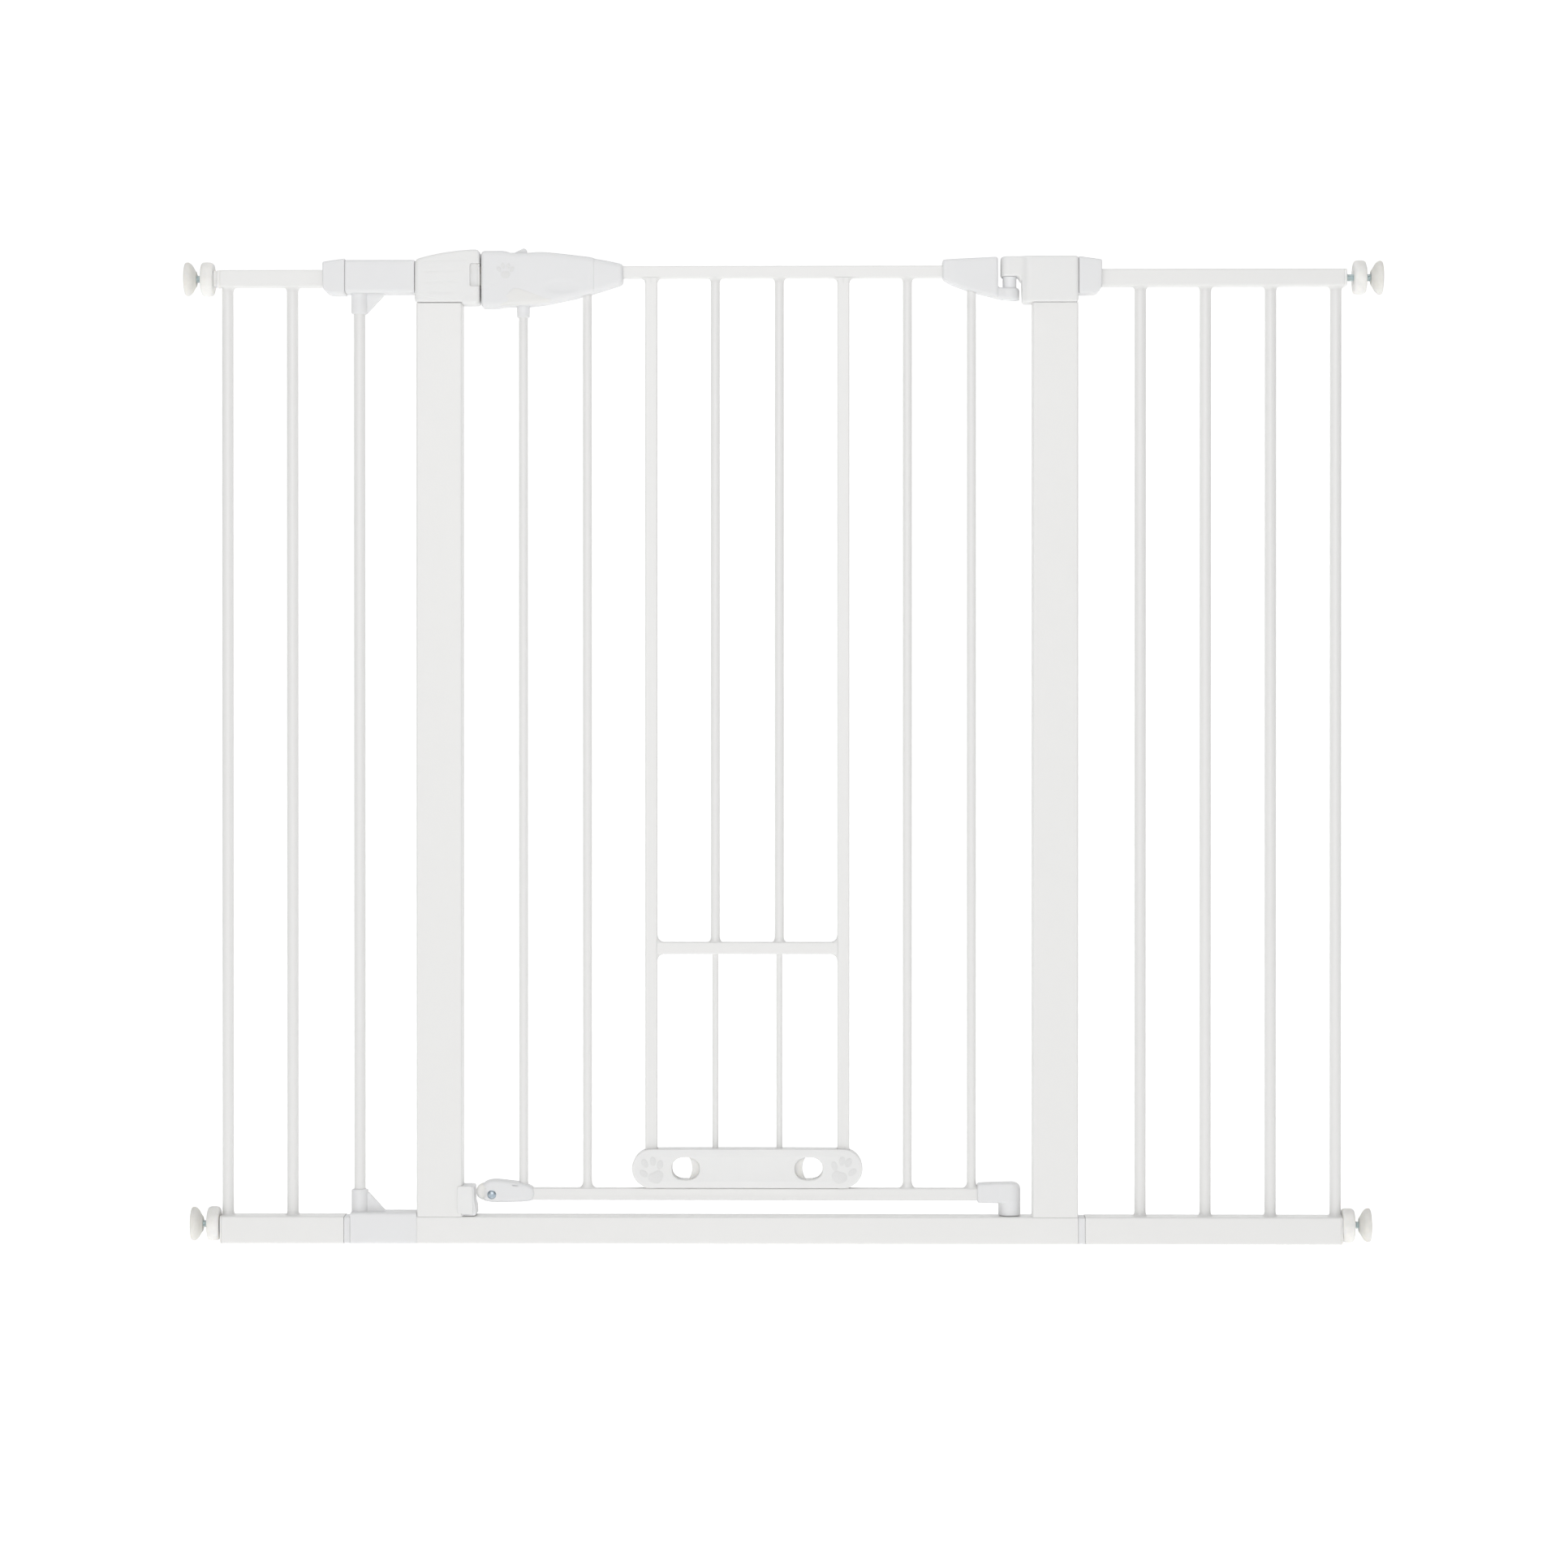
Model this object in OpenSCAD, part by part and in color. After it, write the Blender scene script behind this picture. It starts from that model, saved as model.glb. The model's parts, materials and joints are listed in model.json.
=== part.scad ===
// A pressure-mounted pet gate: a frame with extensions, a lift-and-swing door and a small lift-up pet door.
// X runs along the gate, -Y is its front and Z is up; the floor is at z = 0 and y = 0 is its mid depth.

/* [Frame] */
// Width over the two side posts
frame_w = 698; // [600:1:900]
// Height of the posts' top edge
post_top = 993; // [700:1:1200]
// Width of a post, seen from the front
post_w = 48; // [30:1:70]
// Height of the frame's bottom rail
rail_h = 29; // [20:0.5:40]
// Depth of the posts and the bottom rail
frame_d = 30; // [20:0.5:40]
// Wall of every steel tube
tube_wall = 1.2; // [0.8:0.1:2]
// Depth of the plastic post caps
cap_d = 34; // [30:0.5:36]

/* [Door] */
// Side of the door's square tube
tube_w = 12.7; // [10:0.1:20]
// Diameter of the door's round bars
bar_d = 9.5; // [6:0.1:14]
// Spacing of the door's uprights
bar_pitch = 67.7; // [40:0.1:80]
// Height of the underside of the door's bottom rail
door_z0 = 45.5; // [35:0.5:60]
// Height of the top of the door's top rail
door_z1 = 1032.9; // [700:0.1:1200]
// Distance from the frame's middle to the hinge axis
hinge_off = 277.1; // [200:0.1:400]
// Diameter of the top hinge pin
top_pin_d = 14.8; // [8:0.1:16]
// Diameter of the bottom pivot pin
low_pin_d = 10; // [6:0.1:12]
// Radial clearance where a piece turns or slides on a shaft
run_gap = 0.06; // [0.02:0.01:0.1]

/* [Latch] */
// Depth of the handle at its thickest
grip_d = 32; // [26:0.5:35]
// Wall of the handle's shells
grip_wall = 2.4; // [1.5:0.1:4]
// Reach of the latch tongue out of the handle
tongue_out = 4; // [2:0.5:14]
// Height of the latch tongue
tongue_h = 13; // [10:0.5:14]

/* [Pet door] */
// Width of the pet door's handle plate
plate_w = 243.6; // [200:0.1:280]
// Height of the pet door's handle plate
plate_h = 41.3; // [30:0.1:60]
// Depth over both halves of the plate
plate_d = 24; // [18:0.5:30]
// Diameter of the pet door's rods
rod_d = 6.4; // [4:0.1:8]
// Height of the middle of the crossbar above the opening
cross_z = 312; // [200:1:500]
// Width of a finger hole
hole_w = 29.4; // [22:0.1:40]
// Height of a finger hole
hole_h = 24; // [18:0.1:30]
// Distance from the plate's middle to a finger hole's middle
hole_off = 65; // [50:0.5:80]
// Travel of a pinch slider
pinch_travel = 6; // [3:0.5:8]

/* [Extensions] */
// Side of the extensions' square top rail
ext_w = 18; // [14:0.5:25]
// Height of the top rails' centre line
ext_z = 1020; // [700:1:1200]
// Diameter of the extensions' bars
ext_bar_d = 12; // [8:0.5:16]
// Spacing of the extensions' bars
ext_pitch = 68.7; // [50:0.1:80]
// Length of the left top rail
left_top_len = 108.6; // [80:0.1:400]
// Length of the right top rail
right_top_len = 254.8; // [80:0.1:400]

/* [Wall mounts] */
// Thread diameter of the spindles
spindle_d = 8; // [6:0.5:12]
// Length of a spindle
spindle_len = 95; // [60:1:140]
// Diameter of a hand wheel
wheel_d = 37; // [30:0.5:45]
// Thickness of a hand wheel
wheel_t = 13.2; // [8:0.1:20]
// Diameter of a wall pad
pad_d = 35.7; // [25:0.1:45]
// Thickness of a wall pad with its hub
pad_t = 12.8; // [8:0.1:20]
// Height of the lower spindles' axis
low_axis_z = 19.5; // [19:0.5:30]

/* [Hidden] */
$fn = 48;
eps = 0.01;
big = 200;

// Colours of the preview
metal_white = [0.93, 0.93, 0.92];
cool_white = [0.90, 0.91, 0.93];
ivory = [0.94, 0.93, 0.89];
zinc = [0.72, 0.74, 0.77];
grey = [0.80, 0.80, 0.81];

// Widths that run outwards from the frame to each wall
cap_lip = 2;
sleeve_len = 73.5;
collar_len = 24;
left_flange = 4.2;
right_flange = 3.7;
left_wheel_gap = 3.3;
right_wheel_gap = 6.9;
pad_gap = 4.7;
right_cap_lip = 0.2;
right_collar_len = 25;
left_run = cap_lip + sleeve_len + collar_len + left_top_len + left_flange + left_wheel_gap + wheel_t + pad_gap
  + pad_t;
right_run = right_cap_lip + right_collar_len + right_top_len + right_flange + right_wheel_gap + wheel_t + pad_gap
  + pad_t;

// Main positions
frame_x = (left_run - right_run) / 2;
fx0 = frame_x - frame_w / 2;
fx1 = frame_x + frame_w / 2;
pin_x = frame_x + hinge_off;
door_x = frame_x;
left_wall = fx0 - left_run;
right_wall = fx1 + right_run;
left_sleeve_x = fx0 - cap_lip;
left_collar_x = left_sleeve_x - sleeve_len;
left_rail_x = left_collar_x - collar_len;
left_end_x = left_rail_x - left_top_len;
right_collar_x = fx1 + right_cap_lip;
right_rail_x = right_collar_x + right_collar_len;
right_end_x = right_rail_x + right_top_len;

// Bottom stack outside the frame
low_sleeve_len = 70.2;
low_spacer_left = 7;
low_spacer_right = 7.8;
low_left_len = 129.1;
low_right_len = 268.9;
low_left_x = fx0 - low_sleeve_len - low_spacer_left;
low_left_end = low_left_x - low_left_len;
low_right_x = fx1 + low_spacer_right;
low_right_end = low_right_x + low_right_len;
low_flange = 2.2;
low_wheel_gap_left = 1;
low_pad_gap_left = 4.6;
low_pad_gap_right = 4.5;
low_sleeve_h = 33;
low_sleeve_d = 33;
corner_r = 2;

// Door
bar_i = [0, 1, 6, 7];
tube_i = [2, 5];
rod_i = [3, 4];
door_hz = door_z0 + tube_w;
door_tz = door_z1 - tube_w;
rod_r = rod_d / 2;
guide_bore_r = rod_r + 0.3;
latch_end_x = door_x - 280.6;
top_rail_x0 = door_x - 202.5;
top_rail_x1 = door_x + 249;
low_rail_x0 = door_x - 278.5;
low_rail_x1 = door_x + 259.5;

// Handle
grip_len = 149.5;
grip_top = 1048.3;
grip_low = 988.7;
grip_slot_x0 = latch_end_x + 31.6;
grip_slot_w = 28;
tongue_z = 1018.5;
tongue_d = 11.8;
bolt_len = 44;
socket_x = door_x - 3.5 * bar_pitch;

// Pet door
plate_z0 = door_hz + 0.5;
plate_zc = plate_z0 + plate_h / 2;
hole_r = hole_h / 2;
slot_gap = 0.75;
cavity_d = 10;
cavity_h = 31;
slider_gap = 0.4;
slider_rim = 4;
slider_in = hole_off - hole_w / 2 - slider_rim;
slider_out = hole_off + hole_w / 2 + pinch_travel + slider_rim;
cavity_in = slider_in - pinch_travel - 0.5;
cavity_out = 1.5 * bar_pitch - tube_w / 2;

// Cap and hinge
cap_top = 1049.6;
cap_reach = fx0 + 66.9;
notch_x = cap_reach - 3;
recess_x = cap_reach - 10.4;
recess_t = 4;
notch_z0 = 1010;
notch_z1 = 1035;
hinge_top = 1042.3;
nose_r = 9.5;
nose_z0 = 1021;
lug_r = 10.3;
lug_z0 = 996.3;
lug_z1 = 1009.3;
foot_r = 11.6;
foot_z0 = 29.6;
foot_top = 64.5;
rivet_r = 2.5;
rivet_x = low_rail_x0 + 8.5;
rivet_z = 51.5;
screw_r = 1.5;
screw_head_r = 3;
screw_head_h = 1.8;

function unit(v) = v / norm(v);

// Points of one rounded corner at q, between its neighbours p and s
function corner(p, q, s, r, n) = r <= 0 ? [q] : let (
  a = unit(p - q),
  b = unit(s - q),
  half = acos(a * b) / 2,
  c = q + unit(a + b) * r / sin(half),
  u = q + a * r / tan(half) - c,
  v = q + b * r / tan(half) - c,
  a0 = atan2(u[1], u[0]),
  turn = (atan2(v[1], v[0]) - a0 + 540) % 360 - 180)
  [for (i = [0:n]) c + r * [cos(a0 + turn * i / n), sin(a0 + turn * i / n)]];

// An outline with every corner rounded by r, or by its own entry in the list r
function rounded(pts, r, n = 5) = [for (i = [0:len(pts) - 1])
  each corner(pts[(i + len(pts) - 1) % len(pts)], pts[i], pts[(i + 1) % len(pts)], is_list(r) ? r[i] : r, n)];

function box_pts(w, h) = [[-w / 2, -h / 2], [w / 2, -h / 2], [w / 2, h / 2], [-w / 2, h / 2]];

function ellipse_pts(a, b, n = 24) = [for (i = [0:n - 1]) [a * cos(360 * i / n), b * sin(360 * i / n)]];

function bar_x(i) = door_x + (i - 3.5) * bar_pitch;

// Extrusions along each axis; the 2D drawing's up is Z for along_x and along_y
module along_x(x0, x1) {
  translate([x0, 0, 0])
    rotate([90, 0, 90])
      linear_extrude(x1 - x0)
        children();
}

module along_y(y0, y1) {
  translate([0, y1, 0])
    rotate([90, 0, 0])
      linear_extrude(y1 - y0)
        children();
}

module along_z(z0, z1) {
  translate([0, 0, z0])
    linear_extrude(z1 - z0)
      children();
}

module rod_z(x, z0, z1, r) {
  translate([x, 0, z0])
    cylinder(r = r, h = z1 - z0);
}

module rod_x(x0, x1, z, r) {
  translate([x0, 0, z])
    rotate([0, 90, 0])
      cylinder(r = r, h = x1 - x0);
}

module rod_y(x, z, y0, y1, r) {
  translate([x, y0, z])
    rotate([-90, 0, 0])
      cylinder(r = r, h = y1 - y0);
}

module ring(w, h, wall, r) {
  difference() {
    polygon(rounded(box_pts(w, h), r));
    polygon(rounded(box_pts(w - 2 * wall, h - 2 * wall), max(r - wall, 0.4)));
  }
}

// A square or oblong tube along X, centred on height z
module tube_x(x0, x1, z, d, h, r = corner_r) {
  along_x(x0, x1)
    translate([0, z])
      ring(d, h, tube_wall, r);
}

module tube_z(x, z0, z1, w, d, r = corner_r) {
  along_z(z0, z1)
    translate([x, 0])
      ring(w, d, tube_wall, r);
}

module pipe_z(x, z0, z1, r, bore_r) {
  difference() {
    rod_z(x, z0, z1, r);
    rod_z(x, z0 - eps, z1 + eps, bore_r);
  }
}

// A block along X with an oblong bore
module bored_block(x0, x1, z, d, h, bore_d, bore_h, r) {
  along_x(x0, x1)
    translate([0, z])
      difference() {
        polygon(rounded(box_pts(d, h), r));
        polygon(box_pts(bore_d, bore_h));
      }
}

// A pan-head screw driven towards -Y, with its head's face at y
module screw(x, z, y, len) {
  rod_y(x, z, y - screw_head_h, y, screw_head_r);
  rod_y(x, z, y - len, y - screw_head_h + eps, screw_r);
}

// Frame -----------------------------------------------------------------

module frame_bottom_rail() {
  color(metal_white)
    difference() {
      tube_x(fx0, fx1, rail_h / 2, frame_d, rail_h);
      rod_z(pin_x, rail_h - 3 * tube_wall, rail_h + eps, bush_r);
    }
}

bush_r = 8;
bush_len = 18;

module pivot_bush() {
  color(ivory)
    difference() {
      union() {
        rod_z(pin_x, rail_h - bush_len, rail_h, bush_r);
        rod_z(pin_x, rail_h - tube_wall - 3, rail_h - tube_wall, bush_r + 2);
      }
      rod_z(pin_x, rail_h - bush_len + 2, rail_h + eps, low_pin_d / 2 + run_gap);
    }
}

module left_post() {
  color(metal_white)
    tube_z(fx0 + post_w / 2, rail_h, post_top, post_w, frame_d);
}

module right_post() {
  color(metal_white)
    tube_z(fx1 - post_w / 2, rail_h, post_top, post_w, frame_d);
}

plug_gap = 0.3;
cap_plug_len = 22;
cap_wall = 2.6;

module cap_plug(x) {
  along_z(post_top - cap_plug_len, post_top + eps)
    translate([x, 0])
      ring(post_w - 2 * tube_wall - 2 * plug_gap, frame_d - 2 * tube_wall - 2 * plug_gap, cap_wall, 1);
}

cap_screw_z = post_top + 18;
cap_screw_len = 16;

module cap_screw_pair(x) {
  for (s = [-1, 1])
    translate([s * post_w / 4, 0, 0])
      screw(x, cap_screw_z, cap_d / 2, cap_screw_len);
}

module cap_screws() {
  color(zinc) {
    cap_screw_pair(fx0 + post_w / 2);
    cap_screw_pair(fx1 - post_w / 2);
  }
}

module latch_post_cap() {
  outline = rounded([
    [fx0 - cap_lip, post_top], [fx0 + post_w + 0.2, post_top], [fx0 + post_w + 0.2, post_top - cap_lip],
    [cap_reach, post_top - cap_lip], [cap_reach, notch_z0], [notch_x, notch_z0], [notch_x, notch_z1],
    [cap_reach, notch_z1], [cap_reach, cap_top - 1.2], [fx0 + 44, cap_top], [fx0 + 14, cap_top - 3.4],
    [fx0 - cap_lip, cap_top - 10.6]],
    [1, 0, 0, 3, 1, 1.5, 1.5, 1, 5, 40, 40, 5]);
  plan = rounded([
    [fx0 - cap_lip, -cap_d / 2], [cap_reach, -cap_d / 2], [cap_reach, cap_d / 2], [fx0 - cap_lip, cap_d / 2]], 5);
  color(cool_white)
    difference() {
      union() {
        intersection() {
          along_y(-cap_d / 2, cap_d / 2)
            polygon(outline);
          along_z(post_top - cap_plug_len, cap_top + 1)
            polygon(plan);
        }
        cap_plug(fx0 + post_w / 2);
      }
      cap_screw_pair(fx0 + post_w / 2);
      for (s = [-1, 1])
        translate([recess_x, s * cap_d / 2 - recess_t, notch_z0])
          cube([cap_reach - recess_x + 1, 2 * recess_t, notch_z1 - notch_z0]);
      for (i = [0:2])
        translate([fx0 + 2.5, -cap_d / 2 - eps, post_top + 20 + 11.5 * i])
          cube([36 + 3 * i, 0.5, 0.9]);
    }
}

module hinge_post_cap() {
  body_x = pin_x + 13.1;
  outline = rounded([
    [body_x, post_top], [right_collar_x, post_top], [right_collar_x, hinge_top], [pin_x - nose_r, hinge_top],
    [pin_x - nose_r, nose_z0], [pin_x + 9.2, nose_z0], [body_x, nose_z0 - 5]],
    [1, 1, 4, 3, 1.5, 2, 3]);
  nose_y = 11.6;
  plan = rounded([
    [pin_x - nose_r, -nose_y], [body_x - 0.6, -nose_y], [body_x + 6, -cap_d / 2], [right_collar_x, -cap_d / 2],
    [right_collar_x, cap_d / 2], [body_x + 6, cap_d / 2], [body_x - 0.6, nose_y], [pin_x - nose_r, nose_y]],
    [8, 6, 6, 5, 5, 6, 6, 8]);
  color(cool_white)
    difference() {
      union() {
        intersection() {
          along_y(-cap_d / 2, cap_d / 2)
            polygon(outline);
          along_z(post_top, hinge_top + 1)
            polygon(plan);
        }
        cap_plug(fx1 - post_w / 2);
      }
      rod_z(pin_x, nose_z0 - 1, hinge_top - 4, top_pin_d / 2 + run_gap);
      cap_screw_pair(fx1 - post_w / 2);
    }
}

module latch_catch() {
  depth = cap_d / 2;
  face_x = fx0 + 60.3;
  outline = rounded([
    [fx0 + 43, rail_h + 2], [face_x + 2.6, rail_h + 2], [face_x + 2.6, rail_h + 11], [face_x, rail_h + 15],
    [face_x, rail_h + 32.4], [fx0 + 43, rail_h + 32.4]], [1, 2, 2, 2, 3, 1]);
  color(cool_white)
    difference() {
      intersection() {
        along_y(-depth, depth)
          polygon(outline);
        along_z(rail_h, rail_h + 40)
          polygon(rounded([[fx0 + 43, -depth], [face_x + 2.6, -depth], [face_x + 2.6, depth], [fx0 + 43, depth]],
            [1, 4, 4, 1]));
      }
      translate([fx0, -frame_d / 2, rail_h])
        cube([post_w, frame_d, 60]);
    }
}

// Extensions ------------------------------------------------------------

bore_w = 16;
joiner_w = 15.4;
low_bore_d = 26.4;
low_bore_h = 25.4;
joiner_gap = 0.3;
sleeve_h = 35;
hub_r = 8.9;
single_x = left_collar_x + 14;
gusset_t = 7;

module gusset(x, z, s) {
  along_y(-gusset_t / 2, gusset_t / 2)
    polygon([[x, z], [x + 20, z], [x, z + s * 20]]);
}

module single_bar_top_sleeve() {
  color(cool_white)
    difference() {
      union() {
        along_x(left_collar_x, left_sleeve_x)
          translate([0, ext_z + 1.5])
            polygon(rounded(box_pts(frame_d, sleeve_h), 4));
        rod_z(single_x, ext_z - 37.3, ext_z - 10, hub_r);
        gusset(single_x + hub_r - 1, ext_z - sleeve_h / 2 + 2, -1);
      }
      along_x(left_collar_x - eps, left_sleeve_x + eps)
        translate([0, ext_z])
          polygon(box_pts(bore_w, bore_w));
      rod_z(single_x, ext_z - 40, ext_z - 14, ext_bar_d / 2);
    }
}

module single_bar_bottom_sleeve() {
  color(cool_white)
    difference() {
      union() {
        along_x(fx0 - low_sleeve_len, fx0)
          translate([0, low_sleeve_h / 2])
            polygon(rounded(box_pts(low_sleeve_d, low_sleeve_h), 3));
        rod_z(single_x, low_sleeve_h - 4, 57, hub_r);
        gusset(single_x + hub_r - 1, low_sleeve_h - 1, 1);
      }
      along_x(fx0 - low_sleeve_len - eps, fx0 + eps)
        translate([0, rail_h / 2])
          polygon(box_pts(low_bore_d, low_bore_h));
      rod_z(single_x, low_sleeve_h - 2, 58, ext_bar_d / 2);
    }
}

// A collar along X whose tall side is at x0
module collar(x0, x1, top0, top1) {
  low = ext_z - 17.3;
  cut = 7 * sign(x1 - x0);
  difference() {
    along_y(-frame_d / 2, frame_d / 2)
      polygon(rounded([[x0, low], [x1 - cut, low], [x1, low + 9], [x1, ext_z + top1], [x0, ext_z + top0]],
        [1, 3, 3, 4, 3]));
    along_x(min(x0, x1) - eps, max(x0, x1) + eps)
      translate([0, ext_z])
        polygon(box_pts(bore_w, bore_w));
  }
}

module rail_collars() {
  color(cool_white) {
    collar(left_collar_x, left_rail_x, 20.5, 17);
    collar(right_collar_x, right_rail_x, 22, 18.5);
  }
}

module bottom_spacers() {
  color(cool_white) {
    bored_block(low_left_x, fx0 - low_sleeve_len, rail_h / 2, frame_d - 0.8, rail_h - 0.8, low_bore_d, low_bore_h, 2);
    bored_block(fx1, low_right_x, rail_h / 2, frame_d - 0.8, rail_h - 0.8, low_bore_d, low_bore_h, 2);
  }
}

module left_ext_top_rail() {
  color(metal_white)
    tube_x(left_end_x, left_rail_x, ext_z, ext_w, ext_w);
}

module left_ext_bottom_rail() {
  color(metal_white)
    tube_x(low_left_end, low_left_x, rail_h / 2, frame_d, rail_h);
}

left_bar_x = left_end_x + 6.8;
right_bar_x = right_rail_x + 41;

// Tubes between the extensions' rails, and the one that stands in the single-bar sleeves
module extension_bars() {
  r = ext_bar_d / 2;
  color(metal_white) {
    for (i = [0, 1])
      pipe_z(left_bar_x + i * ext_pitch, rail_h, ext_z - ext_w / 2, r, r - tube_wall);
    for (i = [0:3])
      pipe_z(right_bar_x + i * ext_pitch, rail_h, ext_z - ext_w / 2, r, r - tube_wall);
    pipe_z(single_x, low_sleeve_h - 2, ext_z - 14, r, r - tube_wall);
  }
}

module right_ext_top_rail() {
  color(metal_white)
    tube_x(right_rail_x, right_end_x, ext_z, ext_w, ext_w);
}

module right_ext_bottom_rail() {
  color(metal_white)
    tube_x(low_right_x, low_right_end, rail_h / 2, frame_d, rail_h);
}

spindle_bore = spindle_d / 2 + run_gap;
top_plug_len = 16;
low_plug_len = 18;

module end_plug(x0, x1, z, zc, d, h) {
  difference() {
    along_x(x0, x1)
      translate([0, zc])
        polygon(rounded(box_pts(d, h), 1));
    rod_x(x0 - eps, x1 + eps, z, spindle_bore + 0.2);
  }
}

module rail_end_plugs() {
  top_in = ext_w - 2 * tube_wall - plug_gap;
  low_h = rail_h - 2 * tube_wall - plug_gap;
  low_d = frame_d - 2 * tube_wall - plug_gap;
  color(ivory) {
    end_plug(left_end_x, left_end_x + top_plug_len, ext_z, ext_z, top_in, top_in);
    end_plug(left_end_x - left_flange, left_end_x, ext_z, ext_z, ext_w, ext_w);
    end_plug(right_end_x - top_plug_len, right_end_x, ext_z, ext_z, top_in, top_in);
    end_plug(right_end_x, right_end_x + right_flange, ext_z, ext_z, ext_w, ext_w);
    end_plug(low_left_end, low_left_end + low_plug_len, low_axis_z, rail_h / 2, low_d, low_h);
    end_plug(low_left_end - low_flange, low_left_end, low_axis_z, rail_h / 2, frame_d, rail_h);
    end_plug(low_right_end - low_plug_len, low_right_end, low_axis_z, rail_h / 2, low_d, low_h);
    end_plug(low_right_end, low_right_end + low_flange, low_axis_z, rail_h / 2, frame_d, rail_h);
  }
}

module rail_joiners() {
  low_d = low_bore_d - joiner_gap;
  low_h = low_bore_h - joiner_gap;
  color(zinc) {
    bored_block(left_rail_x - 34, left_sleeve_x - 1, ext_z, joiner_w, joiner_w, joiner_w - 3, joiner_w - 3, 1);
    bored_block(right_collar_x, right_rail_x + 40, ext_z, joiner_w, joiner_w, joiner_w - 3, joiner_w - 3, 1);
    bored_block(low_left_x - 50, fx0 + 40, rail_h / 2, low_d, low_h, low_d - 3, low_h - 3, 1);
    bored_block(fx1 - 45, low_right_x + 50, rail_h / 2, low_d, low_h, low_d - 3, low_h - 3, 1);
  }
}

// Hinge pins ------------------------------------------------------------

module top_hinge_pin() {
  color(cool_white) {
    rod_z(pin_x, lug_z0 - 2, hinge_top - 5, top_pin_d / 2);
    rod_z(pin_x, nose_z0 - 1.4, nose_z0 - 0.2, top_pin_d / 2 + 1);
  }
}

module bottom_pivot_pin() {
  color(zinc)
    rod_z(pin_x, rail_h - bush_len + 3, foot_top - 5, low_pin_d / 2);
}

// Door ------------------------------------------------------------------

module door_top_rail() {
  color(metal_white)
    tube_x(top_rail_x0, top_rail_x1, door_z1 - tube_w / 2, tube_w, tube_w, 1.6);
}

module door_bottom_rail() {
  color(metal_white)
    difference() {
      tube_x(low_rail_x0, low_rail_x1, door_z0 + tube_w / 2, tube_w, tube_w, 1.6);
      rod_y(rivet_x, rivet_z, -tube_w, tube_w, rivet_r);
    }
}

module door_bars() {
  color(metal_white)
    for (i = bar_i)
      pipe_z(bar_x(i), door_hz, i == 0 ? grip_low + 14 : door_tz, bar_d / 2, bar_d / 2 - tube_wall);
}

module door_square_tubes() {
  color(metal_white)
    for (i = tube_i)
      tube_z(bar_x(i), door_hz, door_tz, tube_w, tube_w, 1.6);
}

module door_guide_tubes() {
  color(metal_white)
    for (i = rod_i)
      pipe_z(bar_x(i), cross_z + tube_w / 2, door_tz, bar_d / 2, guide_bore_r);
}

module pet_door_crossbar() {
  color(metal_white)
    difference() {
      tube_x(bar_x(2) + tube_w / 2, bar_x(5) - tube_w / 2, cross_z, tube_w, tube_w, 1.6);
      for (i = rod_i)
        rod_z(bar_x(i), cross_z - tube_w, cross_z + tube_w, rod_r + run_gap);
    }
}

grip_x1 = latch_end_x + grip_len;

function grip_side() = [
  [latch_end_x, grip_low], [latch_end_x + 20, grip_low], [latch_end_x + 21, grip_low + 2],
  [latch_end_x + 51, grip_low + 2.2], [latch_end_x + 78, grip_low + 6.4], [latch_end_x + 114, grip_low + 14.3],
  [grip_x1, grip_low + 24.9], [grip_x1, grip_top - 13.5], [latch_end_x + 118, grip_top - 6.9],
  [latch_end_x + 61, grip_top - 2], [latch_end_x + 31, grip_top - 2], [latch_end_x + 25, grip_top],
  [latch_end_x, grip_top]];

module grip_solid(in) {
  side_r = [2.5, 1, 1, 30, 60, 60, 2, 4, 40, 20, 3, 3, 2.5];
  half = grip_d / 2 - in;
  intersection() {
    along_y(-half, half)
      offset_side(in, side_r);
    along_z(grip_low, grip_top)
      polygon(rounded([
        [latch_end_x + in, -half], [latch_end_x + 90, -half], [grip_x1 - in, -half + 5], [grip_x1 - in, half - 5],
        [latch_end_x + 90, half], [latch_end_x + in, half]], [4, 60, 4, 4, 60, 4]));
  }
}

// The handle's side outline, or its inner wall line when in is above zero
module offset_side(in, radii) {
  if (in > 0)
    polygon([
      [latch_end_x + in, grip_low + in + 2], [latch_end_x + 51, grip_low + 2.2 + in],
      [latch_end_x + 78, grip_low + 6.4 + in], [latch_end_x + 114, grip_low + 14.3 + in],
      [grip_x1 - in, grip_low + 25 + in], [grip_x1 - in, grip_top - 13.5 - in],
      [latch_end_x + 118, grip_top - 6.9 - in], [latch_end_x + 61, grip_top - 2 - in],
      [latch_end_x + 25, grip_top - 2 - in], [latch_end_x + in, grip_top - 2 - in]]);
  else
    polygon(rounded(grip_side(), radii));
}

grip_screw_x = [latch_end_x + 12, latch_end_x + 72, latch_end_x + 128];
grip_screw_z = [grip_low + 10, grip_low + 16, grip_low + 29];
grip_screw_len = 20;
rib_x = latch_end_x + 75;

module grip_cuts() {
  translate([latch_end_x - 1, -tongue_d / 2 - 0.2, tongue_z - tongue_h / 2 - 0.2])
    cube([6, tongue_d + 0.4, tongue_h + 0.4]);
  translate([grip_slot_x0, -4.4, grip_top - 9])
    cube([grip_slot_w, 8.8, 10]);
  translate([top_rail_x0, -tube_w / 2, door_tz])
    cube([big, tube_w, tube_w]);
  rod_z(bar_x(1), grip_low, door_tz + eps, bar_d / 2);
  rod_z(socket_x, grip_low - 5, grip_low + 18, socket_r);
}

socket_r = 7.3;

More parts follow.
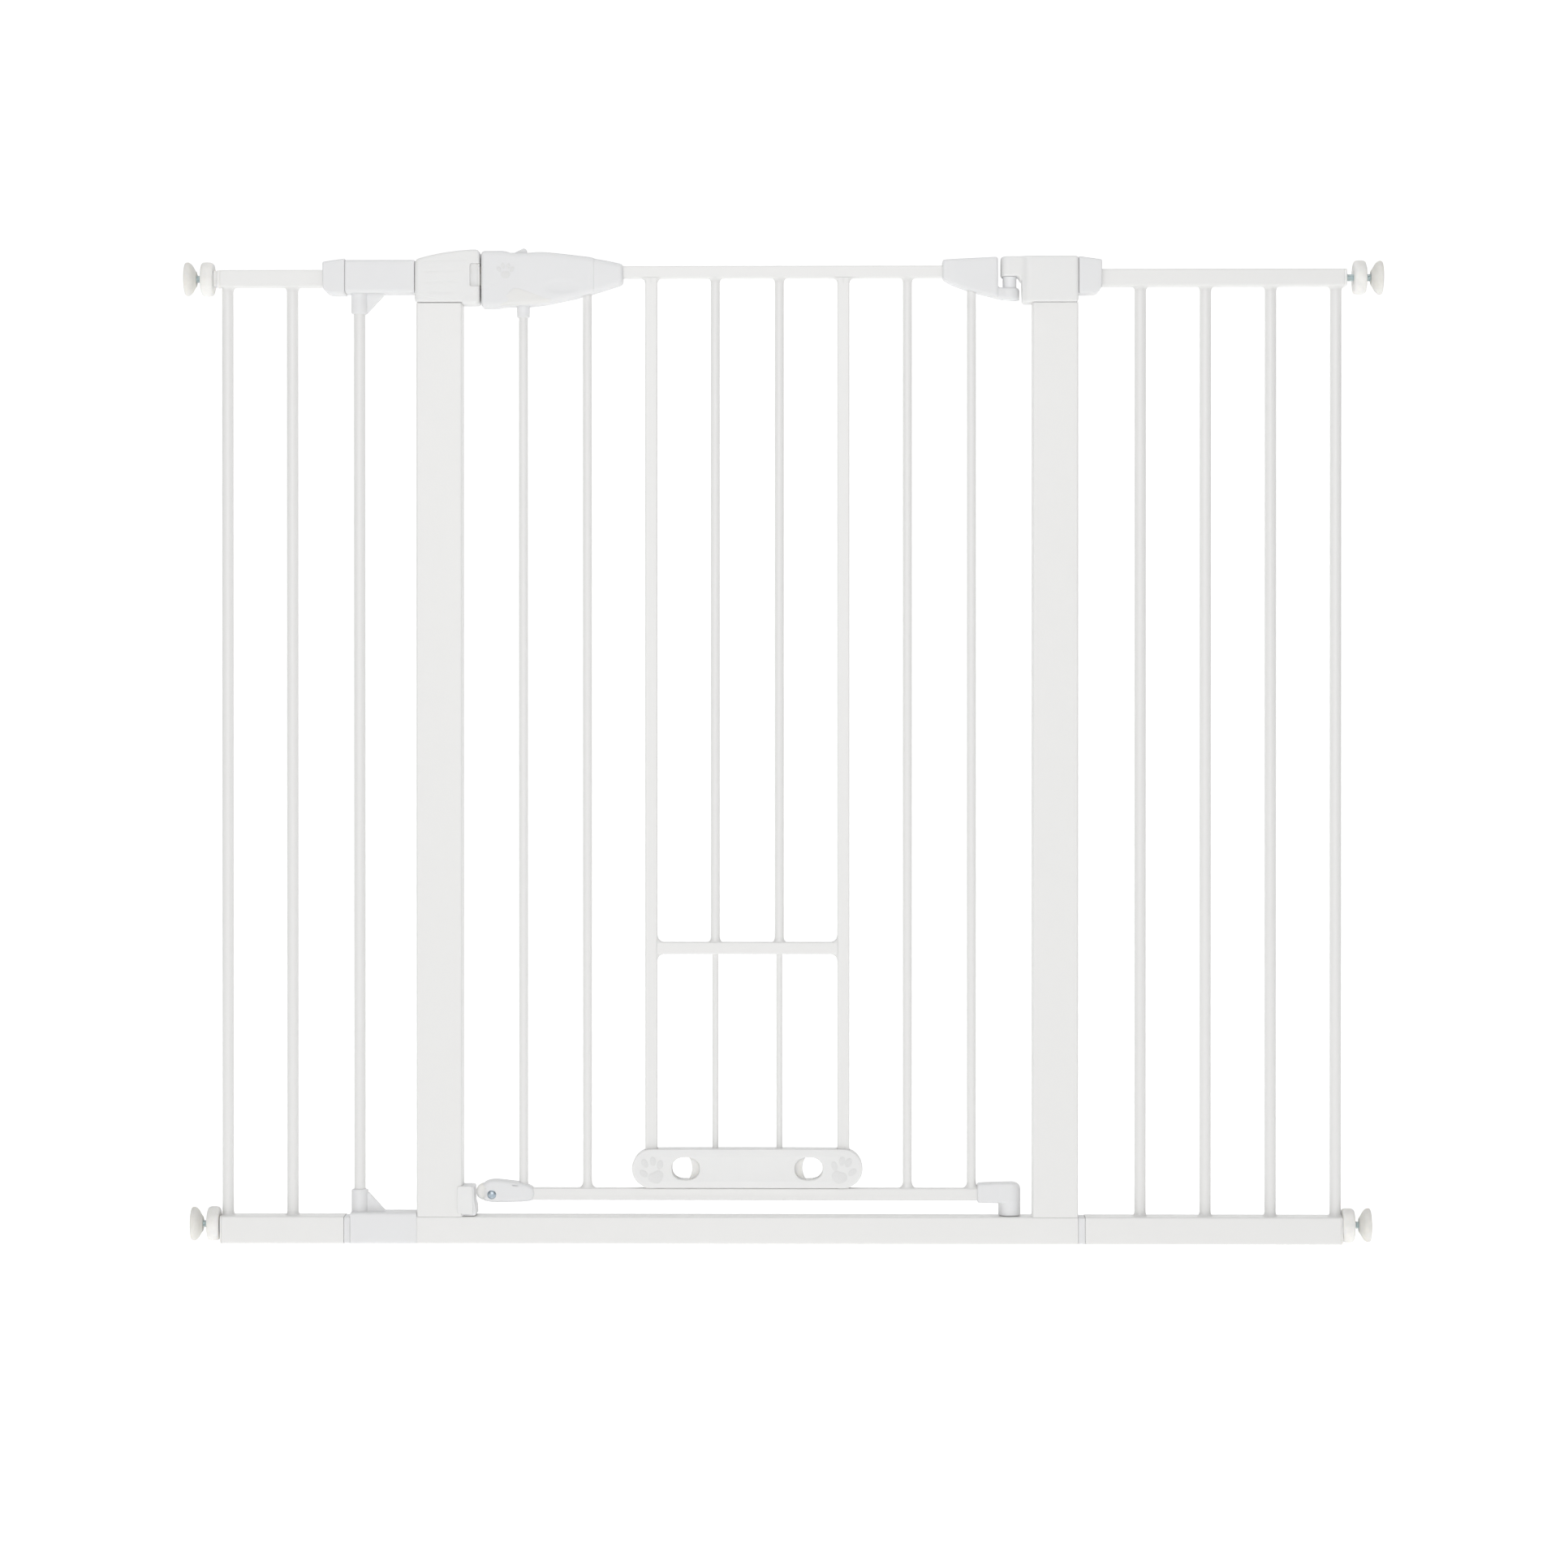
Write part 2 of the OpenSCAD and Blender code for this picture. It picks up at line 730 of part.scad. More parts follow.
module grip_half(front) {
  y0 = front ? -grip_d : 0;
  intersection() {
    difference() {
      union() {
        difference() {
          grip_solid(0);
          grip_solid(grip_wall);
        }
        intersection() {
          grip_solid(0.5);
          union() {
            for (i = [0, 1, 2])
              rod_y(grip_screw_x[i], grip_screw_z[i], -grip_d / 2, grip_d / 2, 4);
            translate([rib_x, -grip_d / 2, grip_low])
              cube([2.4, grip_d, 56]);
          }
        }
      }
      grip_cuts();
      for (i = [0, 1, 2])
        screw(grip_screw_x[i], grip_screw_z[i], screw_face(i), grip_screw_len);
    }
    translate([latch_end_x - 1, y0, grip_low - 1])
      cube([grip_len + 2, grip_d, grip_top - grip_low + 2]);
  }
}

function screw_face(i) = grip_d / 2 - (i == 2 ? 4.2 : 0.4);

module latch_housing_front() {
  color(cool_white)
    grip_half(true);
}

module latch_housing_rear() {
  color(cool_white)
    grip_half(false);
}

module handle_screws() {
  color(zinc)
    for (i = [0, 1, 2])
      screw(grip_screw_x[i], grip_screw_z[i], screw_face(i), grip_screw_len - 1);
}

module latch_bar_socket() {
  color(cool_white)
    difference() {
      translate([socket_x, 0, grip_low - 9.7])
        cylinder(r1 = socket_r - 0.7, r2 = socket_r, h = 25.7);
      rod_z(socket_x, grip_low - 10, grip_low + 14, bar_d / 2);
    }
}

// A paw print: one broad pad with four toes round it, on the plane y, facing -Y
module paw(x, z, s, tilt, y, t) {
  translate([x, 0, z])
    rotate([0, -tilt, 0])
      along_y(y - t, y) {
        scale(s)
          polygon([for (a = [0:10:350]) [(7.4 - 1.6 * sin(a)) * cos(a), 6.2 * sin(a) + 0.8 * cos(2 * a)]]);
        for (k = [-1.5, -0.5, 0.5, 1.5])
          rotate(-k * 34)
            translate([0, s * (15.6 - 0.8 * abs(k))])
              scale(s)
                polygon(ellipse_pts(3.1, 4.6));
      }
}

emblem_t = 0.6;

module handle_emblem() {
  color(grey)
    paw(latch_end_x + 26, 1023, 0.62, 0, -grip_d / 2, emblem_t);
}

module hinge_arm() {
  arm_x0 = door_x + 205.9;
  arm_x1 = pin_x - 12.5;
  side = rounded([
    [arm_x0, 1018.7], [arm_x0 + 10.6, 1013], [arm_x0 + 27, 1007], [arm_x0 + 48, 1001.4], [pin_x, lug_z0],
    [pin_x, lug_z1], [arm_x1, lug_z1 + 0.4], [arm_x1, 1041.6], [arm_x0, 1038.9]],
    [2, 20, 40, 40, 0, 0, 2, 4, 3]);
  color(cool_white)
    difference() {
      union() {
        intersection() {
          along_y(-big, big)
            polygon(side);
          along_z(lug_z0, 1042)
            polygon([[arm_x0, -10.5], [arm_x0 + 12, -12.5], [arm_x1 - 10, -12.5], [pin_x - 4, -9], [pin_x, -9],
              [pin_x, 9], [pin_x - 4, 9], [arm_x1 - 10, 12.5], [arm_x0 + 12, 12.5], [arm_x0, 10.5]]);
        }
        rod_z(pin_x, lug_z0, lug_z1, lug_r);
      }
      rod_z(pin_x, lug_z0 - 1, lug_z1 + 1, top_pin_d / 2 + run_gap);
      translate([top_rail_x1 - big, -tube_w / 2, door_tz])
        cube([big, tube_w, tube_w]);
      rod_z(bar_x(7), lug_z0, door_tz + eps, bar_d / 2);
    }
}

module hinge_foot() {
  elbow_x = door_x + 243;
  half = 10;
  color(cool_white)
    difference() {
      union() {
        rod_z(pin_x, foot_z0, foot_top - 1.5, foot_r);
        along_x(elbow_x, pin_x)
          polygon(rounded([[-half, 43], [half, 43], [half, foot_top], [-half, foot_top]], 3));
      }
      rod_z(pin_x, foot_z0 - 1, foot_top - 4.5, low_pin_d / 2 + run_gap);
      translate([low_rail_x1 - big, -tube_w / 2, door_z0])
        cube([big, tube_w, tube_w]);
    }
}

module bottom_latch_cover() {
  x0 = latch_end_x - 0.9;
  z0 = door_z0 - 2.2;
  half = 9;
  color(cool_white)
    difference() {
      intersection() {
        along_y(-half, half)
          polygon(rounded([[x0, z0], [x0 + 57, z0], [x0 + 57, z0 + 13], [x0 + 40, z0 + 19], [x0 + 22, z0 + 24],
            [x0, z0 + 24]], [3, 2, 3, 20, 8, 5]));
        along_z(z0, z0 + 25)
          polygon(rounded([[x0, -half], [x0 + 57, -half + 1.5], [x0 + 57, half - 1.5], [x0, half]], 3));
      }
      translate([low_rail_x0, -tube_w / 2, door_z0])
        cube([big, tube_w, tube_w]);
      translate([x0 - 1, -6.1, door_z0 - 0.9])
        cube([5, 12.2, 15.2]);
      rod_z(bar_x(0), door_hz, door_hz + 20, bar_d / 2);
      rod_y(rivet_x, rivet_z, -big, big, rivet_r);
      translate([x0 + 30, -half - 1, z0 + 17.4])
        cube([7, 4, 1.6]);
    }
}

module bottom_latch_nose() {
  tip_x = low_rail_x0 - 8.7;
  shank = tube_w - 2 * tube_wall - 0.3;
  color(ivory)
    difference() {
      union() {
        along_y(-6, 6)
          polygon(rounded([[tip_x, door_z0 - 0.8], [low_rail_x0 - 0.1, door_z0 - 0.8],
            [low_rail_x0 - 0.1, door_hz + 1.4], [tip_x, door_hz + 1.4]], [4.5, 1, 1, 4.5]));
        along_x(low_rail_x0 - 1, low_rail_x0 + 22)
          translate([0, door_z0 + tube_w / 2])
            polygon(box_pts(shank, shank));
      }
      rod_y(rivet_x, rivet_z, -big, big, rivet_r);
    }
}

module bottom_latch_rivet() {
  dome_h = 2.2;
  head_r = 5;
  color(zinc)
    for (s = [-1, 1]) {
      translate([rivet_x, 0, rivet_z])
        rotate([s * 90, 0, 0])
          rotate_extrude()
            polygon(concat([[0, 0], [rivet_r, 0], [rivet_r, 8.8], [head_r, 8.8]],
              [for (a = [10:10:90]) [head_r * cos(a), 8.8 + dome_h * sin(a)]]));
    }
}

// Latch slider ----------------------------------------------------------

bolt_x0 = latch_end_x - tongue_out;

module latch_bolt() {
  color(ivory)
    along_y(-tongue_d / 2, tongue_d / 2)
      polygon(rounded([
        [bolt_x0, tongue_z - tongue_h / 2], [bolt_x0 + bolt_len + 10, tongue_z - tongue_h / 2],
        [bolt_x0 + bolt_len + 10, tongue_z + tongue_h / 2], [bolt_x0, tongue_z + tongue_h / 2]], [3, 1, 1, 3]));
}

module latch_button() {
  x0 = latch_end_x + 33.1;
  base = grip_top - 1.8;
  color(cool_white) {
    translate([x0 + 1.5, -4, tongue_z + tongue_h / 2])
      cube([11, 8, base - tongue_z - tongue_h / 2 + 1]);
    along_y(-7, 7)
      polygon(rounded([[x0, base], [x0 + 14, base], [x0 + 14, grip_top + 3.2], [x0 + 11, grip_top + 3.2]],
        [0.3, 0.5, 1, 1]));
  }
}

module latch_spring() {
  x0 = bolt_x0 + bolt_len + 10;
  len = rib_x - x0;
  turns = 7;
  wire = 0.6;
  pitch = (len - 2 * wire) / (turns - 1);
  color(zinc)
    for (i = [0:turns - 1])
      translate([x0 + wire + i * pitch, 0, tongue_z])
        rotate([0, 90, 0])
          rotate_extrude()
            translate([4, 0])
              circle(r = wire, $fn = 16);
}

// Pet door --------------------------------------------------------------

module stadium(w, h) {
  polygon(rounded(box_pts(w, h), h / 2 - 0.01, 12));
}

plate_screw_x = [-114.5, -20, 20, 114.5];

module plate_half(front) {
  half = plate_d / 2;
  s = front ? -1 : 1;
  difference() {
    along_y(min(0, s * half), max(0, s * half))
      translate([door_x, plate_zc])
        stadium(plate_w, plate_h);
    for (i = tube_i)
      translate([bar_x(i) - tube_w / 2 - slot_gap, -tube_w / 2 - slot_gap, plate_z0 - 1])
        cube([tube_w + 2 * slot_gap, tube_w + 2 * slot_gap, plate_h + 2]);
    for (i = rod_i)
      rod_z(bar_x(i), plate_z0 + 5, plate_z0 + plate_h + 1, rod_r);
    for (k = [-1, 1]) {
      along_y(-half - 1, half + 1)
        translate([door_x + k * hole_off, plate_zc])
          stadium(hole_w, hole_h);
      translate([door_x, 0, plate_zc])
        mirror([k < 0 ? 1 : 0, 0, 0])
          translate([cavity_in, -cavity_d / 2, -cavity_h / 2])
            cube([cavity_out - cavity_in, cavity_d, cavity_h]);
    }
    for (x = plate_screw_x)
      screw(door_x + x, plate_zc, half, plate_d - 5);
  }
}

module pet_door_front_plate() {
  color(cool_white)
    plate_half(true);
}

module pet_door_rear_plate() {
  color(cool_white)
    plate_half(false);
}

module pet_door_screws() {
  color(zinc)
    for (x = plate_screw_x)
      screw(door_x + x, plate_zc, plate_d / 2, plate_d - 6);
}

module pet_door_rods() {
  color(metal_white)
    for (i = rod_i)
      rod_z(bar_x(i), plate_z0 + 5, cross_z + 95, rod_r);
}

module paw_emblems() {
  color(grey) {
    paw(door_x - 96.4, plate_z0 + 12.4, 1, 26, -plate_d / 2, emblem_t);
    paw(door_x + 97.6, plate_z0 + 12.4, 1, -19, -plate_d / 2, emblem_t);
  }
}

// A slider that surrounds a finger hole, with a lock pin pointing outwards; k is its side of the plate
module pinch(k) {
  t = cavity_d - 2 * slider_gap;
  h = cavity_h - 2 * slider_gap;
  win_x0 = hole_off - hole_w / 2 + 8;
  win_x1 = hole_off + hole_w / 2 + pinch_travel;
  win_mid = (win_x0 + win_x1) / 2;
  pin_end = 1.5 * bar_pitch - tube_w / 2 - slot_gap - 0.3;
  color(ivory)
    translate([door_x, 0, plate_zc])
      mirror([k < 0 ? 1 : 0, 0, 0]) {
        along_y(-t / 2, t / 2)
          difference() {
            translate([(slider_in + slider_out) / 2, 0])
              polygon(rounded(box_pts(slider_out - slider_in, h), 2));
            translate([win_mid, 0])
              polygon(rounded([[win_x0 - win_mid, -hole_r], [win_x1 - win_mid, -hole_r],
                [win_x1 - win_mid, hole_r], [win_x0 - win_mid, hole_r]], [9, 5, 5, 9], 8));
          }
        rod_x(slider_out - 0.5, pin_end, 0, 3);
      }
}

module pinch_left() {
  pinch(-1);
}

module pinch_right() {
  pinch(1);
}

// Wall mounts: k is the side, x the outer face of the wheel and of the pad ---------------

module hand_wheel(x0, z, turn) {
  lobes = 5;
  dip = 0.9;
  cut_r = 14;
  edge = 2.2;
  color(ivory)
    difference() {
      translate([x0, 0, z])
        rotate([0, 90, 0])
          rotate_extrude()
            polygon(rounded([[spindle_bore, 0], [wheel_d / 2, 0], [wheel_d / 2, wheel_t], [spindle_bore, wheel_t]],
              [0, edge, edge, 0], 6));
      for (i = [0:lobes - 1])
        translate([x0 - eps, 0, z])
          rotate([turn + (i + 0.5) * 360 / lobes, 0, 0])
            translate([0, cut_r + wheel_d / 2 - dip, 0])
              rotate([0, 90, 0])
                cylinder(r = cut_r, h = wheel_t + 2 * eps);
    }
}

// A pad whose wall face is at x, facing the side k
module wall_pad(x, z, k) {
  face_t = 5.7;
  hub = 8.2;
  color(ivory)
    translate([x, 0, z])
      rotate([0, -90 * k, 0])
        rotate_extrude()
          polygon(rounded([
            [0, 0], [pad_d / 2, 0], [pad_d / 2, face_t - 1], [hub, pad_t],
            [spindle_d / 2, pad_t], [spindle_d / 2, pad_t - 8], [0, pad_t - 8]], [0, 1.2, 1.2, 0.5, 0, 0, 0]));
}

module spindle(x, z, k) {
  tip = x - k * (pad_t - 8);
  color(zinc)
    rod_x(min(tip, tip - k * spindle_len), max(tip, tip - k * spindle_len), z, spindle_d / 2);
}

low_left_wheel = low_left_end - low_flange - low_wheel_gap_left - wheel_t;
low_left_wall = low_left_wheel - low_pad_gap_left - pad_t;
low_right_wall = low_right_end + low_flange + wheel_t + low_pad_gap_right + pad_t;

module wall_pad_left_top() {
  wall_pad(left_wall, ext_z, -1);
}

module wall_pad_left_bottom() {
  wall_pad(low_left_wall, low_axis_z, -1);
}

module wall_pad_right_top() {
  wall_pad(right_wall, ext_z, 1);
}

module wall_pad_right_bottom() {
  wall_pad(low_right_wall, low_axis_z, 1);
}

module spindle_left_top() {
  spindle(left_wall, ext_z, -1);
}

module spindle_left_bottom() {
  spindle(low_left_wall, low_axis_z, -1);
}

module spindle_right_top() {
  spindle(right_wall, ext_z, 1);
}

module spindle_right_bottom() {
  spindle(low_right_wall, low_axis_z, 1);
}

module hand_wheel_left_top() {
  hand_wheel(left_end_x - left_flange - left_wheel_gap - wheel_t, ext_z, 180);
}

module hand_wheel_left_bottom() {
  hand_wheel(low_left_wheel, low_axis_z, 0);
}

module hand_wheel_right_top() {
  hand_wheel(right_end_x + right_flange + right_wheel_gap, ext_z, 180);
}

module hand_wheel_right_bottom() {
  hand_wheel(low_right_end + low_flange, low_axis_z, 0);
}

frame_bottom_rail();
left_post();
right_post();
latch_post_cap();
hinge_post_cap();
latch_catch();
pivot_bush();
cap_screws();
single_bar_top_sleeve();
single_bar_bottom_sleeve();
rail_collars();
bottom_spacers();
left_ext_top_rail();
left_ext_bottom_rail();
right_ext_top_rail();
right_ext_bottom_rail();
extension_bars();
rail_end_plugs();
rail_joiners();
top_hinge_pin();
bottom_pivot_pin();
door_top_rail();
door_bottom_rail();
door_bars();
door_square_tubes();
door_guide_tubes();
pet_door_crossbar();
latch_housing_front();
latch_housing_rear();
latch_bar_socket();
handle_emblem();
handle_screws();
hinge_arm();
hinge_foot();
bottom_latch_cover();
bottom_latch_nose();
bottom_latch_rivet();
latch_button();
latch_bolt();
latch_spring();
pet_door_front_plate();
pet_door_rear_plate();
pet_door_rods();
paw_emblems();
pet_door_screws();
pinch_left();
pinch_right();
spindle_left_top();
spindle_left_bottom();
spindle_right_top();
spindle_right_bottom();
wall_pad_left_top();
wall_pad_left_bottom();
wall_pad_right_top();
wall_pad_right_bottom();
hand_wheel_left_top();
hand_wheel_left_bottom();
hand_wheel_right_top();
hand_wheel_right_bottom();
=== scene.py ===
"""Looks of the pet gate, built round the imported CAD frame.

Lengths in the tables are millimetres; meshes are in metres.
"""

import json
import math

import bmesh
import bpy
from mathutils import Matrix, Vector
from mathutils.bvhtree import BVHTree


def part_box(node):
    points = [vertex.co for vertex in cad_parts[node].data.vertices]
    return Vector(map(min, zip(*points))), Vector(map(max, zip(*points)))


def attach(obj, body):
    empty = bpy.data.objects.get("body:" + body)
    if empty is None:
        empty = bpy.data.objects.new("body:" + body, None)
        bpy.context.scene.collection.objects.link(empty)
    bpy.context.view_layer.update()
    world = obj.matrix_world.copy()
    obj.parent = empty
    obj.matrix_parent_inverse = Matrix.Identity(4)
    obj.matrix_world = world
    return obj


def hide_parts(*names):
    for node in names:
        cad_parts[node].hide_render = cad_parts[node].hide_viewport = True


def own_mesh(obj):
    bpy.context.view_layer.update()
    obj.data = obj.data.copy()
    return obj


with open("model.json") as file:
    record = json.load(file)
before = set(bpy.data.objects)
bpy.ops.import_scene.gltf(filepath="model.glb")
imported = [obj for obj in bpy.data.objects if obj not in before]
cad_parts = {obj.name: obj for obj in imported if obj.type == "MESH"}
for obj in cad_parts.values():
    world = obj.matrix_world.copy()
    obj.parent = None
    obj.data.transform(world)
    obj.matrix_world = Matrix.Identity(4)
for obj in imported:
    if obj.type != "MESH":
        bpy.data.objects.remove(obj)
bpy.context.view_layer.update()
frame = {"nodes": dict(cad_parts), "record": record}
nodes = frame["nodes"]
record = frame["record"]
MM = 0.001


def lo_hi(node):
    """A CAD node's box, in millimetres."""
    lo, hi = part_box(node)
    return Vector(lo) / MM, Vector(hi) / MM


# --- materials


class Paint:
    """A material whose colour, roughness and bumps come from noise nodes."""

    def __init__(self, name):
        self.mat = bpy.data.materials.new(name)
        self.mat.use_nodes = True
        self.tree = self.mat.node_tree
        self.tree.nodes.clear()
        out = self.add("OutputMaterial")
        self.shader = self.add("BsdfPrincipled")
        self.link(self.shader.outputs[0], out.inputs[0])
        self.coords = self.add("TexCoord")

    def add(self, kind, **values):
        node = self.tree.nodes.new("ShaderNode" + kind)
        for name, value in values.items():
            node.inputs[name.replace("_", " ")].default_value = value
        return node

    def link(self, source, socket):
        self.tree.links.new(source, socket)

    def feed(self, source, name):
        self.link(source, self.shader.inputs[name])

    def set(self, **values):
        for name, value in values.items():
            self.shader.inputs[name.replace("_", " ")].default_value = value

    def noise(self, scale, detail=2.0, rough=0.5):
        node = self.add("TexNoise", Scale=scale, Detail=detail, Roughness=rough)
        self.link(self.coords.outputs["Object"], node.inputs["Vector"])
        return node.outputs["Fac"]

    def ramp(self, source, *stops):
        node = self.add("ValToRGB")
        elements = node.color_ramp.elements
        while len(elements) < len(stops):
            elements.new(0.5)
        for element, (place, colour) in zip(elements, stops):
            element.position = place
            element.color = (*colour, 1.0)
        self.link(source, node.inputs[0])
        return node.outputs[0]

    def rough(self, source, low, high):
        node = self.add("MapRange", To_Min=low, To_Max=high)
        self.link(source, node.inputs["Value"])
        self.feed(node.outputs[0], "Roughness")

    def bumps(self, *layers):
        """Chains bump nodes; each layer is (source, strength, height in metres)."""
        last = None
        for source, strength, height in layers:
            node = self.add("Bump", Strength=strength, Distance=height)
            self.link(source, node.inputs["Height"])
            if last:
                self.link(last, node.inputs["Normal"])
            last = node.outputs[0]
        self.feed(last, "Normal")

    def tinted_with_edge_highlight(self, colour, spread, scale):
        """Base colour that drifts a little across the surface, with a painted highlight that makes sharp
        convex edges a touch lighter.
        """
        drift = self.noise(scale, 3.0)
        low = [c * (1 - spread) for c in colour]
        high = [min(1.0, c * (1 + spread)) for c in colour]
        base = self.ramp(drift, (0.3, low), (0.7, high))
        geometry = self.add("NewGeometry")
        # painted highlight: sharp convex edges (high pointiness) are mixed about 4% lighter
        edge = self.ramp(geometry.outputs["Pointiness"], (0.5, (0, 0, 0)), (0.62, (1, 1, 1)))
        mix = self.add("Mix")
        mix.data_type = "RGBA"
        self.link(base, mix.inputs["A"])
        mix.inputs["B"].default_value = (*[min(1.0, c * 1.04) for c in colour], 1.0)
        self.link(edge, mix.inputs["Factor"])
        self.feed(mix.outputs["Result"], "Base Color")


def powder_coat(name, colour, peel=0.10):
    paint = Paint(name)
    paint.tinted_with_edge_highlight(colour, 0.008, 14)
    orange_peel = paint.noise(620, 1.5, 0.4)
    speck = paint.noise(2600)
    paint.rough(paint.noise(45), 0.36, 0.46)
    paint.set(Coat_Weight=0.12, Coat_Roughness=0.28)
    paint.bumps((orange_peel, peel, 0.0006), (speck, 0.05, 0.0002))
    return paint.mat


def moulded(name, colour):
    paint = Paint(name)
    paint.tinted_with_edge_highlight(colour, 0.006, 22)
    fine = paint.noise(3000, 2.0, 0.6)
    flow = paint.noise(120, 2.0, 0.4)
    paint.rough(flow, 0.42, 0.52)
    paint.set(Subsurface_Weight=0.04, Subsurface_Radius=(1.0, 0.9, 0.7), Subsurface_Scale=0.004)
    paint.bumps((fine, 0.10, 0.0002), (flow, 0.04, 0.0006))
    return paint.mat


def mottled(name, colour, rough=(0.45, 0.6), waxy=0.18):
    """Ivory nylon and soft rubber: cloudy inside, with a faint bloom."""
    paint = Paint(name)
    cloud = paint.noise(130, 4.0, 0.6)
    dark, pale = [c * 0.965 for c in colour], [min(1, c * 1.03) for c in colour]
    paint.feed(paint.ramp(cloud, (0.32, dark), (0.5, colour), (0.7, pale)), "Base Color")
    paint.rough(cloud, *rough)
    paint.set(Subsurface_Weight=waxy, Subsurface_Radius=(1.0, 0.85, 0.6), Subsurface_Scale=0.005)
    paint.bumps((cloud, 0.12, 0.0006), (paint.noise(1800), 0.08, 0.0002))
    return paint.mat


def zinc_plate(name, colour=(0.40, 0.47, 0.53)):
    paint = Paint(name)
    paint.set(Metallic=1.0)
    cloud = paint.noise(300, 3.0, 0.6)
    dark = [c * 0.8 for c in colour]
    paint.feed(paint.ramp(cloud, (0.3, dark), (0.55, colour), (0.75, (0.56, 0.58, 0.56))), "Base Color")
    paint.rough(cloud, 0.22, 0.42)
    paint.bumps((paint.noise(2200, 3.0), 0.12, 0.0002))
    return paint.mat


def printed(name, colour):
    paint = Paint(name)
    ink = paint.noise(1500, 3.0, 0.7)
    paint.feed(paint.ramp(ink, (0.3, [c * 0.96 for c in colour]), (0.7, [c * 1.03 for c in colour])),
        "Base Color")
    paint.rough(ink, 0.55, 0.7)
    paint.bumps((ink, 0.15, 0.0001))
    return paint.mat


POWDER = powder_coat("powder_coat", (0.76, 0.757, 0.746))
COOL = moulded("cool_plastic", (0.76, 0.762, 0.766))
NEUTRAL = moulded("neutral_plastic", (0.785, 0.785, 0.778))
WARM = moulded("warm_panel_plastic", (0.765, 0.761, 0.745))
# The hinge pin's plastic is a lighter copy of the cool plastic: painted light that lifts the shade the cap's
# nose casts on it
PIN_PLASTIC_PAINTED_LIGHT = moulded("pin_plastic_painted_light", (0.86, 0.865, 0.875))
IVORY = mottled("ivory_nylon", (0.83, 0.823, 0.80))
RUBBER = mottled("pad_rubber", (0.76, 0.75, 0.715), (0.55, 0.7), 0.22)
ZINC = zinc_plate("zinc_plated_steel")
# The threaded rods' zinc is a lighter copy of the zinc plate: painted light that lifts the dark reflections
# they would show
THREAD_PAINTED_LIGHT = zinc_plate("zinc_plated_thread_painted_light", (0.66, 0.74, 0.75))
PRINT = printed("grey_paw_print", (0.735, 0.735, 0.73))

# The materials of each slot of the record, the main one first
BY_SLOT = {
    "powder_white": [POWDER],
    "cool_plastic": [COOL, NEUTRAL, WARM, PIN_PLASTIC_PAINTED_LIGHT],
    "ivory_plastic": [IVORY],
    "pad_rubber": [RUBBER],
    "zinc_steel": [ZINC, THREAD_PAINTED_LIGHT],
    "grey_print": [PRINT],
}

# --- mesh tools


BEVEL_SEGMENTS, BEVEL_ANGLE = 3, 40


def finish_mesh(name, verts, faces, *look, **shape):
    """Makes a mesh object from millimetre points, shades it and makes it ride."""
    mesh = bpy.data.meshes.new(name)
    mesh.from_pydata([Vector(v) * MM for v in verts], [], faces)
    return dress(name, mesh, *look, **shape)


def dress(name, mesh, mat, body, replaces=(), smooth=35, bevel=0):
    """Cleans a mesh, gives it its material and body, and hides the CAD nodes it replaces."""
    bm = bmesh.new()
    bm.from_mesh(mesh)
    bmesh.ops.remove_doubles(bm, verts=bm.verts, dist=2e-6)
    bmesh.ops.recalc_face_normals(bm, faces=bm.faces)
    bm.to_mesh(mesh)
    bm.free()
    mesh.validate()
    obj = bpy.data.objects.new(name, mesh)
    bpy.context.scene.collection.objects.link(obj)
    mesh.materials.clear()
    mesh.materials.append(mat)
    if bevel:
        mod = obj.modifiers.new("soft_edges", "BEVEL")
        mod.width = bevel * MM
        mod.segments = BEVEL_SEGMENTS
        mod.limit_method = "ANGLE"
        mod.angle_limit = math.radians(BEVEL_ANGLE)
        mod.use_clamp_overlap = True
        bake(obj)
    shade(obj.data, smooth)
    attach(obj, body)
    if replaces:
        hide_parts(*replaces)
    return obj


def shade(mesh, angle):
    mesh.shade_smooth()
    mesh.set_sharp_from_angle(angle=math.radians(angle))


def bake(obj):
    """Applies an object's modifiers."""
    graph = bpy.context.evaluated_depsgraph_get()
    mesh = bpy.data.meshes.new_from_object(obj.evaluated_get(graph))
    old = obj.data
    obj.modifiers.clear()
    obj.data = mesh
    mesh.name = obj.name
    bpy.data.meshes.remove(old)


def cut(obj, cutters, smooth=35):
    """Booleans obj with temporary meshes made from (verts, faces) pairs, then removes them."""
    cutters = [temp(*mesh) for mesh in cutters]
    for cutter in cutters:
        mod = obj.modifiers.new("cut", "BOOLEAN")
        mod.operation = "DIFFERENCE"
        mod.solver = "EXACT"
        mod.object = cutter
    bake(obj)
    for cutter in cutters:
        mesh = cutter.data
        bpy.data.objects.remove(cutter)
        bpy.data.meshes.remove(mesh)
    shade(obj.data, smooth)
    return obj


def temp(verts, faces):
    mesh = bpy.data.meshes.new("cutter")
    mesh.from_pydata([Vector(v) * MM for v in verts], [], faces)
    bm = bmesh.new()
    bm.from_mesh(mesh)
    bmesh.ops.recalc_face_normals(bm, faces=bm.faces)
    bm.to_mesh(mesh)
    bm.free()
    obj = bpy.data.objects.new("cutter", mesh)
    bpy.context.scene.collection.objects.link(obj)
    return obj


def rings_mesh(rings):
    """Faces that join a list of equal closed rings, with both ends closed."""
    n = len(rings[0])
    verts = [p for ring in rings for p in ring]
    faces = []
    for i in range(len(rings) - 1):
        for j in range(n):
            a, b = i * n + j, i * n + (j + 1) % n
            faces.append((a, b, b + n, a + n))
    faces.append(tuple(range(n))[::-1])
    faces.append(tuple((len(rings) - 1) * n + j for j in range(n)))
    return verts, faces


